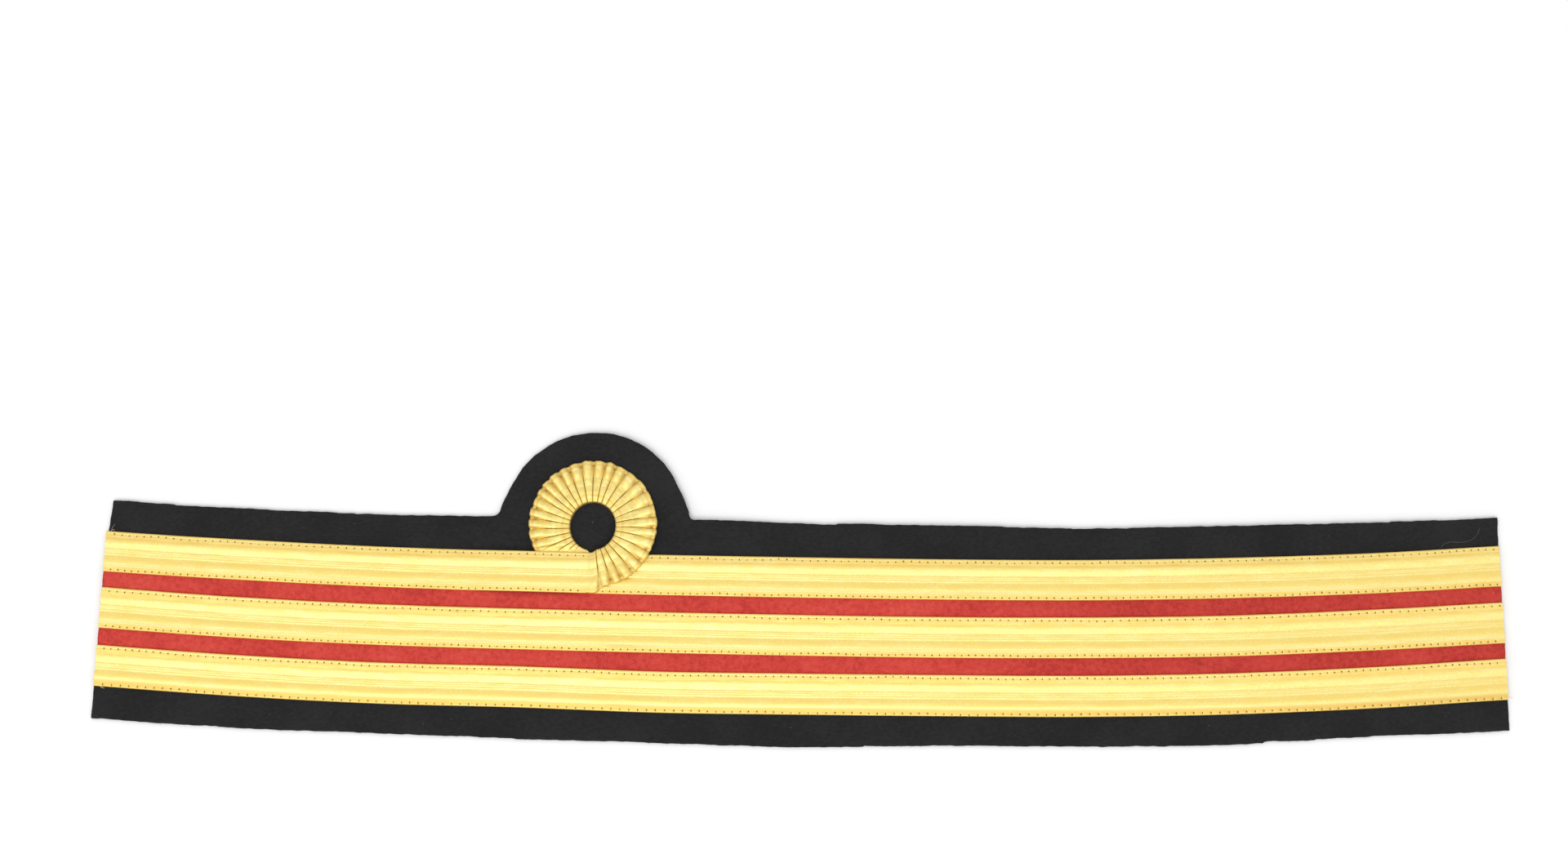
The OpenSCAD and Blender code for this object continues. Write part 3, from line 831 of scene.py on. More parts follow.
# Turns in degrees at which the lace is creased, one between each two pleats
creases = [
    -93, -82, -71, -61, -49, -37, -25, -13, -3, 8, 20, 34, 46, 59, 70, 80, 91, 103, 115, 125,
    136, 145, 154, 165, 175, 185, 196, 207, 217, 226, 235, 246, 267,
]
pleatForm = {
    # Height from one crease to the next: pressed shut at the hole, open in flutes at the rim
    "shut": [(0, 0), (0.02, 0.5), (0.06, 0.82), (0.16, 0.95), (0.5, 1),
             (0.84, 0.95), (0.94, 0.82), (0.98, 0.5), (1, 0)],
    "open": [(0, 0), (0.07, 0.1), (0.18, 0.5), (0.32, 0.88), (0.5, 1),
             (0.68, 0.88), (0.82, 0.5), (0.93, 0.1), (1, 0)],
    # Height from the hole to the rim
    "rounding": [(0, 0.55), (0.035, 0.9), (0.08, 1), (0.93, 1), (1, 0.8)],
    # Thickness that is left in a pleat, from the lace's middle line to its edges
    "pressed": [(0, 0.80), (0.6, 0.78), (0.9, 0.62), (1, 0.42)],
}
# How far an edge with scarlet below it is raised, from the middle line outwards
raiseShare = [(0, 0), (0.46, 0), (0.60, 0.1), (0.66, 0.4), (0.95, 1), (1, 1)]
half = np.array([d for d, _ in weaveSection]) / halfLace
topPlaces = np.concatenate([-half[::-1], half[1:]])
seatPlaces = np.array([-1, -0.706, -0.646, 0, 0.646, 0.706, 1])
seatShare = np.array([1, 1, 0, 0, 0, 1, 1])


def straightRows(i, x, level=0.0):
    y, n = laceY(i, x), len(x)
    return {
        "inner": np.column_stack([x, y + edgeReach["inner"]]),
        "outer": np.column_stack([x, y + edgeReach["outer"]]),
        "level": np.zeros(n) + level, "pleated": np.zeros(n), "phase": np.zeros(n), "gain": np.ones(n),
    }


def between(a, start, end):
    # Share of the way from one turn to another, in degrees
    return ease((a - start) / (end - start))


def crossingLevel(a):
    return curl["crossing"] * (1 - between(a, curl["sinkFrom"], curl["sinkTo"]))


def curlRows():
    edges = np.array(creases, float)
    pleatParts = weave["pleatParts"]
    share = 0.5 - 0.5 * np.cos(np.pi * np.arange(pleatParts) / pleatParts)
    pleat = np.repeat(np.arange(len(edges) - 1), pleatParts)
    phase = np.tile(share, len(edges) - 1)
    a = edges[pleat] + (edges[pleat + 1] - edges[pleat]) * phase
    gain = chance.uniform(*weave["pleatGain"], len(edges) - 1)
    bulge = chance.uniform(*weave["pleatBulge"], len(edges) - 1)
    gain[[0, 10]], bulge[10] = (0.6, 0.7), 0.5       # pleats that lie flatter than the rest
    pleated = between(a, curl["pleatsFrom"], curl["pleatsFull"])
    pleated = pleated * (1 - between(a, curl["flattenFrom"], curl["flattenTo"]))
    turn = np.radians(a)
    ruffle = weave["ruffle"] * ripple(turn * curl["radius"], turn * 0, 1.5, 12)
    scallop = weave["scallop"] * np.sin(np.pi * phase) ** 0.6 * bulge[pleat]
    rows = {"level": crossingLevel(a), "pleated": pleated, "phase": phase, "gain": gain[pleat]}
    sides = {
        "inner": (curl["holeRadius"] - curl["holeStretch"] * np.cos(2 * turn),
                  curl["holeRadius"] + curl["holeStretch"], curlY - curl["holeDrop"], 0, curl["settleHole"]),
        "outer": (curl["radius"] - 0.16 + (scallop + ruffle) * pleated, curl["radius"],
                  curlY, curl["leaveRim"], curl["settleRim"]),
    }
    for name, (radius, lowRadius, centre, leave, settle) in sides.items():
        # Both ends of the turn settle to the straight line of the lace
        left = curl["start"] + leave
        settled = 1 - between(a, left, curl["settled"]) + between(a, settle, curl["start"] + 360)
        drop = centre - lowRadius - float(laceY(0, curlX)) - edgeReach[name]
        y = centre + radius * np.sin(turn) - settled * drop
        rows[name] = np.column_stack([curlX + radius * np.cos(turn), y])
    return rows


def upperRows():
    step = weave["step"]
    climbEnd = curlX - curl["radius"] - curl["climbClear"]
    x = np.arange(-halfLength, curlX - 1.6, step)
    left = straightRows(0, x, curl["crossing"] * ease(1 - (climbEnd - x) / curl["climb"]))
    x = np.linspace(curlX - 0.8, halfLength, int((halfLength - curlX) / step))
    right = straightRows(0, x)
    return [left, curlRows(), right]


def laceColumns(rows, top):
    # Values along the lace, a row at a time: length gone, and the direction it runs in
    middle = top[:, len(topPlaces) // 2, :]
    going = np.linalg.norm(np.diff(middle, axis=0), axis=1) * (1 + 0.6 * rows["pleated"][1:])
    tangent = np.gradient(middle[:, :2], axis=0)
    tangent /= np.maximum(np.linalg.norm(tangent, axis=1), 1e-9)[:, None]
    return {
        "along": np.concatenate([[0], np.cumsum(going)]), "phase": rows["phase"], "gain": rows["gain"],
        "aheadX": tangent[:, 0], "aheadY": tangent[:, 1],
    }


def makeLace(name, runs, raises):
    rows = {key: np.concatenate([run[key] for run in runs]) for key in runs[0]}
    n = len(rows["level"])
    share = np.interp(np.abs(topPlaces), *zip(*raiseShare)) * np.where(topPlaces < 0, *raises)
    plain = (1 - rows["pleated"])[:, None]
    level = rows["level"][:, None]

    def lay(places, height):
        widths = (rows["outer"] - rows["inner"])[:, None, :]
        p = rows["inner"][:, None, :] + widths * (1 + places[None, :, None]) / 2
        z = (strip["seat"] + height)[..., None]
        return np.concatenate([pulledX(p[..., :1], p[..., 1:]), p[..., 1:], z], -1)

    top = lay(topPlaces, level + plain * share)
    swell = np.sin(np.pi * rows["phase"]) ** 0.9 * rows["pleated"] * rows["gain"]
    hollow = ease((1 + seatPlaces) / 2)[None, :] * weave["rimPleat"] * 0.35 * swell[:, None]
    seatRaise = seatShare * np.where(seatPlaces < 0, *raises)
    made = bandMesh(name, top, lay(seatPlaces, level + plain * seatRaise + hollow))

    def spread(values, places):
        return (values[:, None] + 0 * places[None, :]).ravel()

    def onBoth(upper, lower):
        return np.concatenate([spread(upper, topPlaces), spread(lower, seatPlaces)])

    columns = laceColumns(rows, top)
    giveValues(made, "upside", onBoth(np.ones(n), np.zeros(n)))
    for key, values in columns.items():
        giveValues(made, key, onBoth(values, values))
    # Pleats die away where the lace's tail passes below its first stretch
    under = (laceY(0, curlX) + halfLace + 0.4 - top[..., 1]) / weave["tailFade"]
    tailStart = len(runs[0]["level"]) + weave["tailPleat"] * weave["pleatParts"]
    tail = (np.arange(n) >= tailStart) & (len(runs) > 1)
    fade = np.where(tail[:, None], 1 - ease(under + 1) * 0.9, 1.0)
    faded = (rows["pleated"][:, None] * fade).ravel()
    giveValues(made, "pleated", np.concatenate([faded, spread(rows["pleated"], seatPlaces)]))
    across = np.concatenate([np.tile(topPlaces, n), np.tile(seatPlaces, n)])
    giveValues(made, "across", across)
    # Painted shade on a border that lies flat on the black cloth
    bare = ease((across * halfLace - weave["bareFrom"]) / weave["bareOver"])
    bare *= 1 - 0.5 * ease((across * halfLace - weave["bareEdgeFrom"]) / weave["bareEdgeOver"])
    giveValues(made, "bare", bare * (raises[1] == 0))
    giveMap(made, "weaveMap", onBoth(columns["along"], columns["along"]), across * halfLace)
    return made, rows


weaveSizes = {
    "Thickness": weave["thickness"] * mm, "Hole pleat": weave["holePleat"] * mm,
    "Rim pleat": weave["rimPleat"] * mm, "Lean": weave["lean"] * mm,
    "Unevenness": weave["unevenness"] * mm, "Crumple": weave["crumple"] * mm,
    "Needle depth": weave["needleDepth"] * mm, "Needle radius": weave["needleRadius"] * mm,
}


def weaveTree():
    tree, given = startTree("laceWeave", {**weaveSizes, "Needle holes": "object", "Material": "material"})
    across, along, phase, pleated = (named(tree, n) for n in ("across", "along", "phase", "pleated"))
    gain, upside = named(tree, "gain"), named(tree, "upside")
    where = result(place(tree, "GeometryNodeInputPosition"))
    reach = calc(tree, "ABSOLUTE", across)
    outward = scaled(tree, across, 0.5, 0.5)
    # Pleats are shut, with sharp creases, at the hole and open into flutes at the rim
    section = profile(tree, reach, [(d / halfLace, h) for d, h in weaveSection])
    flatShare = times(tree, section, minus(tree, 1.0, times(tree, pleated, 0.3)))
    pressed = times(tree, profile(tree, reach, pleatForm["pressed"]), times(tree, pleated, 0.3))
    shut, flute = profile(tree, phase, pleatForm["shut"]), profile(tree, phase, pleatForm["open"])
    shape = blend(tree, remap(tree, outward, 0.35, 0.9), shut, flute)
    pleatHeight = times(tree, blend(tree, outward, given["Hole pleat"], given["Rim pleat"]), gain)
    rounding = profile(tree, outward, pleatForm["rounding"])
    raised = times(tree, times(tree, shape, rounding), pleatHeight, pleated)
    # Uneven lie of the lace, crumpled cloth in the pleats and dimples at the needle holes
    flow = join(tree, times(tree, along, weave["rollAlong"]), times(tree, across, weave["rollAcross"]), 0.0)
    rolling = minus(tree, noise(tree, flow, 1.0, 2.0), 0.5)
    rolling = times(tree, rolling, times(tree, given["Unevenness"], 2.0))
    rolling = times(tree, rolling, scaled(tree, remap(tree, reach, 0.66, 0.58), 0.8, 0.2))
    crumple = minus(tree, noise(tree, where, weave["crumpleScale"], 1.0), 0.5)
    crumple = times(tree, crumple, times(tree, pleated, given["Crumple"]))
    holes = result(place(tree, "GeometryNodeObjectInfo", {"Object": given["Needle holes"]}), "Geometry")
    near = place(tree, "GeometryNodeProximity", {"Geometry": holes}, target_element="POINTS")
    apart = calc(tree, "DIVIDE", result(near, "Distance"), given["Needle radius"])
    closeness = minus(tree, 1.0, apart, clamp=True)
    dimple = times(tree, remap(tree, closeness, 0.0, 0.9), given["Needle depth"])
    height = scaled(tree, plus(tree, flatShare, pressed), given["Thickness"], raised)
    height = times(tree, minus(tree, plus(tree, height, crumple, rolling), dimple), upside)
    leaning = times(tree, times(tree, given["Lean"], shape), times(tree, pleated, upside))
    sideways = [times(tree, leaning, named(tree, n)) for n in ("aheadX", "aheadY")]
    offset = join(tree, *sideways, height)
    moved = place(tree, "GeometryNodeSetPosition", {"Geometry": given["Geometry"], "Offset": offset})
    # Painted shade for the material: warm in the hollows and the rim's notches, dark in the creases towards
    # the hole, in small kinks along the middle line and round the needle holes; warm patches over the pleats
    # are at random
    valley = minus(tree, 1.0, shape, clamp=True)
    shown = times(tree, pleated, upside)
    patchy = noise(tree, where, weave["patchScale"], 2.0)
    notch = times(tree, remap(tree, outward, 0.66, 0.86), remap(tree, outward, 0.90, 0.98, 1.0, 0.3),
                  remap(tree, patchy, 0.35, 0.55, 0.45, 1.0))
    warmth = times(tree, remap(tree, valley, 0.12, 0.85), remap(tree, outward, 0.3, 0.9, 0.22, 0.85),
                   remap(tree, patchy, 0.3, 0.6, 0.45, 1.0))
    warmth = calc(tree, "MAXIMUM", warmth, remap(tree, patchy, 0.40, 0.66, 0.0, 0.34))
    warmth = times(tree, warmth, remap(tree, outward, 0.88, 1.0, 1.0, 0.45))
    warmth = calc(tree, "MAXIMUM", warmth, times(tree, notch, remap(tree, valley, 0.2, 0.75)))
    fold = times(tree, remap(tree, valley, 0.3, 0.8), remap(tree, outward, 0.36, 0.68, 1.0, 0.0),
                 remap(tree, patchy, 0.38, 0.58, 0.55, 1.0))
    kink = times(tree, remap(tree, reach, 0.03, 0.005), remap(tree, patchy, 0.35, 0.6, 0.0, 0.16))
    fold = calc(tree, "MAXIMUM", fold, kink)
    fold = calc(tree, "MAXIMUM", fold, times(tree, notch, remap(tree, valley, 0.7, 1.0, 0.0, 0.22)))
    creased = times(tree, fold, calc(tree, "MULTIPLY", shown, 1.3, clamp=True))
    # Painted shade round the needle holes, stored with the creases
    prickShading = times(tree, remap(tree, closeness, 0.1, 0.8, 0.0, 0.5), upside)
    shaded = store(tree, result(moved), "hollow", times(tree, warmth, shown))
    shaded = store(tree, shaded, "crease", calc(tree, "MAXIMUM", creased, prickShading))
    endTree(tree, shaded, given["Material"])
    return tree


def needleLine(rows, lace, side, first=0, last=None):
    # Needle holes along one edge of a run: the points, in mm
    inner, outer = rows["inner"][first:last], rows["outer"][first:last]
    reach = side * (1 - weave["stitchInset"][side > 0] / halfLace)
    p = inner + (outer - inner) * (1 + reach) / 2
    gone = np.concatenate([[0], np.cumsum(np.linalg.norm(np.diff(p, axis=0), axis=1))])
    pitch, jitter = weave["stitchPitch"][lace][side > 0], weave["pitchJitter"]
    count = int(gone[-1] / pitch)
    drifting = weave["pitchDrift"] * ripple(np.arange(count), 0, 9, chance.integers(999))
    at = np.cumsum(pitch * (1 + drifting + chance.uniform(-jitter, jitter, count)))
    at = at[at < gone[-1] - weave["lineEnd"]]
    x, y = np.interp(at, gone, p[:, 0]), np.interp(at, gone, p[:, 1])
    y = y + weave["lineDrift"] * ripple(x, 0 * x, 14, chance.integers(999))
    y = y + chance.uniform(-weave["lineJitter"], weave["lineJitter"], len(x))
    level = np.interp(at, gone, rows["level"][first:last])
    return np.column_stack([pulledX(x, y), y, level])


stitchRaise = [np.interp(1 - inset / halfLace, *zip(*raiseShare)) for inset in weave["stitchInset"]]


def needleMesh(name, lines):
    # Lines of needle holes with their lift and side: 1 lower edge, -1 upper edge, 0 points without thread
    points, edges, sides = [], [], []
    for line, raised, side in lines:
        start = len(points)
        points += [(x, y, strip["seat"] + level + raised * stitchRaise[side > 0]) for x, y, level in line]
        sides += [side] * len(line)
        if side:
            edges += [(k, k + 1) for k in range(start, len(points) - 1)]
    mesh = bpy.data.meshes.new(name)
    mesh.from_pydata([tuple(np.array(p) * mm) for p in points], edges, [])
    made = bpy.data.objects.new(name, mesh)
    giveValues(made, "side", sides)
    bpy.context.scene.collection.objects.link(made)
    return made


laceTree = weaveTree()


def finishLace(made, holes):
    grow(made, laceTree, {**weaveSizes, "Needle holes": holes, "Material": goldLaceMaterial})
    for name in ("upside", "along", "phase", "gain", "across", "aheadX", "aheadY"):
        made.data.attributes.remove(made.data.attributes[name])
    made.data.set_sharp_from_angle(angle=math.radians(weave["sharpAngle"]))
    laceObjects.append(made)
    needleObjects.append(holes)
    print(made.name, len(made.data.vertices), "points")


laceStations = np.linspace(-halfLength, halfLength, int(strip["length"] / weave["step"]))
laceObjects, needleObjects = [], []
sewn = strip["sewnRaise"]
for i, name in ((2, "lace_lower_woven"), (1, "lace_middle_woven")):
    raises = (sewn, sewn if i == 1 else 0.0)
    band, rows = makeLace(name, [straightRows(i, laceStations)], raises)
    lines = [(needleLine(rows, i, -1), raises[0], -1), (needleLine(rows, i, 1), raises[1], 1)]
    finishLace(band, needleMesh("needles" + laces[i], lines))

leftRun, curlRun, rightRun = upperRows()
band, rows = makeLace("lace_upper_woven", [leftRun, curlRun, rightRun], (0.0, sewn))
underCurl = int((curl["radius"] - 3) / weave["step"])      # rows of the right run that the curl hides
rimTurns = np.array(creases[1:27], float)
rimJitter = chance.uniform(-weave["rimJitter"], weave["rimJitter"], len(rimTurns))
rimRadius = curl["radius"] - weave["rimInset"] + rimJitter
rimX, rimY = rimRadius * np.cos(np.radians(rimTurns)), rimRadius * np.sin(np.radians(rimTurns))
rimHoles = np.column_stack([curlX + rimX, curlY + rimY, crossingLevel(rimTurns)])
finishLace(band, needleMesh("needlesUpperLace", [
    (needleLine(leftRun, 0, -1), 0.0, -1), (needleLine(leftRun, 0, 1), sewn, 1),
    (needleLine(rightRun, 0, -1, underCurl), 0.0, -1), (needleLine(rightRun, 0, 1), sewn, 1),
    (rimHoles, 0.0, 0),
]))


# Stitches: a small dark bowl at each needle prick, painted shade in its hole, and a short arc of thread from
# one to the next
thread = {
    "radius": 0.06, "bulge": 0.08, "dip": 0.10, "handle": 0.36, "above": 0.99, "fill": 0.86,
    "prick": 0.26, "prickAbove": 1.1, "prickWide": 0.82, "prickLong": 1.3, "prickRange": (0.95, 1.6),
    "loosePrick": 0.65, "sewnPrick": 0.19,       # share of a loose prick, and what a sewn one has more
    # Thread that crosses the border at each prick: y and z in mm, its share of the radius and of the length
    "crossLine": [(-0.62, -0.16), (-0.3, 0.02), (0.35, 0.06), (0.68, 0.02)],
    "crossRadius": 0.9, "crossRange": (0.55, 1.05),
}
threadSizes = {
    "Radius": thread["radius"] * mm, "Bulge": thread["bulge"] * mm, "Dip": thread["dip"] * mm,
    "Above": thread["above"] * mm, "Fill": thread["fill"],
    "Prick": thread["prick"] * mm, "Prick above": thread["prickAbove"] * mm,
}


def stitchTree():
    tree, given = startTree("sewingThread", {
        **threadSizes, "Material": "material", "Prick material": "material", "Cross material": "material"})
    tone, side = randomValue(tree, 3), named(tree, "side")
    # An arc of thread on each edge between two pricks
    ends = place(tree, "GeometryNodeInputMeshEdgeVertices")
    run = vectorCalc(tree, "SUBTRACT", result(ends, "Position 2"), result(ends, "Position 1"))
    measured = store(tree, given["Geometry"], "run", run, "EDGE", "FLOAT_VECTOR")
    spots = place(tree, "GeometryNodeMeshToPoints", {"Mesh": measured}, mode="EDGES")
    run = named(tree, "run", "FLOAT_VECTOR")
    turn = place(tree, "FunctionNodeAlignRotationToVector", {"Vector": run}, axis="X")
    low, handle = times(tree, given["Dip"], -1.0), thread["handle"]
    arc = curveLine(tree, 5, (-0.5, 0.0, low), (-handle, 0.0, given["Bulge"]),
                    (handle, 0.0, given["Bulge"]), (0.5, 0.0, low))
    length = times(tree, lengthOf(tree, run), given["Fill"])
    arcs = layCopies(
        tree, result(spots), tube(tree, arc, given["Radius"], 5), given["Above"], given["Material"], tone,
        Rotation=result(turn), Scale=join(tree, length, 1.0, 1.0))
    # A dark bowl at each prick, painted shade in the needle hole
    pricks = result(place(tree, "GeometryNodeMeshToPoints", {"Mesh": given["Geometry"]}, mode="VERTICES"))
    bowl = place(tree, "GeometryNodeMeshCone", {
        "Vertices": 8, "Radius Top": 0.0, "Radius Bottom": given["Prick"],
        "Depth": times(tree, given["Prick"], -0.5)}, fill_type="NONE")
    wide = times(tree, randomValue(tree, 4, *thread["prickRange"]), thread["prickWide"])
    share = scaled(tree, calc(tree, "ABSOLUTE", side), thread["sewnPrick"], thread["loosePrick"])
    scale = vectorCalc(tree, "SCALE", join(tree, wide, thread["prickLong"], 1.0), scale=share)
    dots = layCopies(
        tree, pricks, result(bowl, "Mesh"), given["Prick above"], given["Prick material"], Scale=scale)
    # A short thread across the border at each sewn prick
    crossLine = curveLine(tree, 3, *((0.0, y * mm, z * mm) for y, z in thread["crossLine"]))
    cross = tube(tree, crossLine, times(tree, given["Radius"], thread["crossRadius"]), 4)
    facing = join(tree, 0.0, 0.0, scaled(tree, side, -math.pi / 2, math.pi / 2))
    reach = randomValue(tree, 6, *thread["crossRange"])
    crosses = layCopies(
        tree, pricks, cross, given["Prick above"], given["Cross material"], tone,
        Selection=calc(tree, "ABSOLUTE", side), Rotation=facing, Scale=join(tree, 1.0, reach, 1.0))
    both = tree.nodes.new("GeometryNodeJoinGeometry")
    for shape in (crosses, arcs, dots):
        tree.links.new(shape, both.inputs[0])
    real = place(tree, "GeometryNodeRealizeInstances", {"Geometry": result(both)})
    tree.links.new(result(real), tree.nodes.new("NodeGroupOutput").inputs[0])
    return tree


sewing = stitchTree()
threadLooks = {
    "Material": goldThreadMaterial, "Prick material": prickShadeMaterial, "Cross material": crossMaterial}
stitchObjects = []
for holes, name in zip(needleObjects, ("stitches_lower", "stitches_middle", "stitches_upper")):
    stitchObjects.append(grow(holes, sewing, {**threadSizes, **threadLooks}, name))
    shade(stitchObjects[-1].data)
for holes in needleObjects:
    bpy.data.objects.remove(holes)
print("stitches made")


# Fibres: short curved hairs scattered on faces, for the raw edge and the nap of both cloths.
# Density is the number of hairs on a square metre, upright and bend are shares, and the rest is in mm
fuzz = {
    "edge": {"density": 2.6e6, "length": 0.5, "upright": 0.9, "low": 0.4, "high": 1.1},
    "nap": {"density": 0.45e6, "length": 0.7, "upright": 0.3,
            "margin": 0.6, "laceMargin": 0.5, "holeRadius": 7.5},
    "scarlet": {"density": 0.8e6, "length": 0.6, "upright": 0.25, "margin": 0.6, "below": 0.03},
    "radius": 0.014, "bend": 0.4, "sizes": (0.45, 1.25), "step": 3.0,
}


def hairTree():
    tree, given = startTree("looseFibres", {
        "Density": fuzz["nap"]["density"], "Seed": 1, "Length": fuzz["nap"]["length"] * mm,
        "Radius": fuzz["radius"] * mm, "Upright": fuzz["nap"]["upright"], "Bend": fuzz["bend"],
        "Material": "material",
    })
    seed, bend = given["Seed"], given["Bend"]
    spots = place(tree, "GeometryNodeDistributePointsOnFaces", {
        "Mesh": given["Geometry"], "Density": given["Density"], "Seed": seed})
    normal = vectorCalc(tree, "SCALE", result(spots, "Normal"), scale=given["Upright"])
    astray = randomValue(tree, seed, (-1.0, -1.0, -0.15), (1.0, 1.0, 0.5), "FLOAT_VECTOR")
    leaning = vectorCalc(tree, "ADD", normal, astray)
    turn = place(tree, "FunctionNodeAlignRotationToVector", {"Vector": leaning}, axis="Z")
    hair = curveLine(tree, 3, (0.0, 0.0, -0.05), (0.0, 0.0, 0.4),
                     (times(tree, bend, 0.5), 0.0, 0.8), (bend, 0.1, 0.9))
    strand = tube(tree, hair, calc(tree, "DIVIDE", given["Radius"], given["Length"]), 3, False)
    size = randomValue(tree, plus(tree, seed, 5), *fuzz["sizes"])
    laid = place(tree, "GeometryNodeInstanceOnPoints", {
        "Points": result(spots, "Points"), "Instance": strand, "Rotation": result(turn),
        "Scale": times(tree, size, given["Length"])})
    shape = store(tree, result(laid), "tone", randomValue(tree, plus(tree, seed, 9)), "INSTANCE")
    endTree(tree, shape, given["Material"])
    return tree


hairs = hairTree()


def faceSheet(name, shapes):
    # A sheet of loose faces, each given by its corners
    points, faces = [], []
    for corners in shapes:
        faces.append(list(range(len(points), len(points) + len(corners))))
        points += corners
    return makeObject(name, points, faces)


def quadsBetween(low, high, stations, level):
    # Faces between two lines along the strip
    shapes = []
    for x0, x1 in zip(stations, stations[1:]):
        corners = ((x0, float(low(x0))), (x1, float(low(x1))), (x1, float(high(x1))), (x0, float(high(x0))))
        shapes.append([(x, y, level(x, y)) for x, y in corners])
    return shapes


def edgeWall():
    n = len(outline)
    lift = clothLift(*outline.T)
    points = np.concatenate([np.column_stack([outline, fuzz["edge"][end] + lift]) for end in ("low", "high")])
    return makeObject("edgeWall", points, [[i, (i + 1) % n, n + (i + 1) % n, n + i] for i in range(n)])


def napSheet():
    # The bare black cloth just at its surface: two borders, the hump round the curl and the curl's hole
    nap, level = fuzz["nap"], strip["thickness"]
    margin, laceMargin = nap["margin"], nap["laceMargin"]
    borders = (
        (lambda x: laceY(0, x) + halfLace + laceMargin, lambda x: upperEdgeY(x) - margin),
        (lambda x: lowerEdgeY(x) + margin, lambda x: laceY(2, x) - halfLace - laceMargin),
    )
    stations, shapes = np.arange(-246, 247, fuzz["step"]), []
    for low, high in borders:
        shapes += quadsBetween(low, high, stations, lambda x, y: level + float(clothLift(x, y)))
    inner, outer = curl["radius"] + margin, hump["radius"] - margin
    turns = np.radians(np.arange(4, 177, 4))
    for t0, t1 in zip(turns, turns[1:]):
        shapes.append([(humpX + r * math.cos(t), humpY + r * math.sin(t), level + 0.02)
                       for r, t in ((inner, t0), (outer, t0), (outer, t1), (inner, t1))])
    turns = np.radians(np.arange(0, 361, 15))
    reach = nap["holeRadius"]
    for pair in zip(turns, turns[1:]):
        rim = [(curlX + reach * math.cos(t), curlY + reach * math.sin(t), level) for t in pair]
        shapes.append([(curlX, curlY, level)] + rim)
    return faceSheet("napSheet", shapes)


def scarletSheet(i):
    margin = fuzz["scarlet"]["margin"]
    level = strip["seat"] + felt["thickness"] - fuzz["scarlet"]["below"]
    return faceSheet("scarletSheet", quadsBetween(
        lambda x: laceY(i + 1, x) + halfLace + margin, lambda x: laceY(i, x) - halfLace - margin,
        np.arange(-247, 248, fuzz["step"]), lambda x, y: level))


def scatter(name, source, kind, material, seed):
    made = grow(source, hairs, {
        "Density": fuzz[kind]["density"], "Seed": seed, "Length": fuzz[kind]["length"] * mm,
        "Radius": fuzz["radius"] * mm, "Upright": fuzz[kind]["upright"], "Bend": fuzz["bend"],
        "Material": material}, name)
    shade(made.data)
    bpy.data.objects.remove(source)
    return made


fibreObjects = [
    (scatter("edge_fibres", edgeWall(), "edge", blackFibreMaterial, 1), "black_cloth"),
    (scatter("nap_fibres", napSheet(), "nap", blackFibreMaterial, 2), "black_cloth"),
    (scatter("scarlet_fibres_upper", scarletSheet(0), "scarlet", scarletFibreMaterial, 3), "scarlet_cloth"),
    (scatter("scarlet_fibres_lower", scarletSheet(1), "scarlet", scarletFibreMaterial, 4), "scarlet_cloth"),
]
print("fibres made")


# Single threads and lint, in mm. Each has its radius, material, slot and the points of its lines
def fleck(x, y, z, turn, size=0.5):
    dx, dy = math.cos(turn) * size / 2, math.sin(turn) * size / 2
    return [(x - dx, y - dy, z), (x, y, z + 0.06), (x + dx, y + dy, z)]


frayed = {"count": 22, "spread": 6.8, "out": (0.05, 0.7), "drop": 0.35}      # count at each end, rest in mm


def frayedEnds():
    # Cut threads that stand out of both ends of each lace
    lines = []
    for i in range(3):
        for side in (-1, 1):
            for v in chance.uniform(-frayed["spread"], frayed["spread"], frayed["count"]):
                y = float(laceY(i, side * halfLength)) + v
                x = float(pulledX(side * halfLength, y))
                out = chance.uniform(*frayed["out"]) ** 1.5 + 0.08
                drop = chance.uniform(-frayed["drop"], frayed["drop"])
                tip = (x + side * out, y + drop, 1.75)
                lines.append([(x - side * 0.6, y, 2.05), (x, y + drop * 0.3, 2.15), tip])
    return lines


blackLevel, redLevel = strip["thickness"] + 0.12, strip["seat"] + felt["thickness"] + 0.06
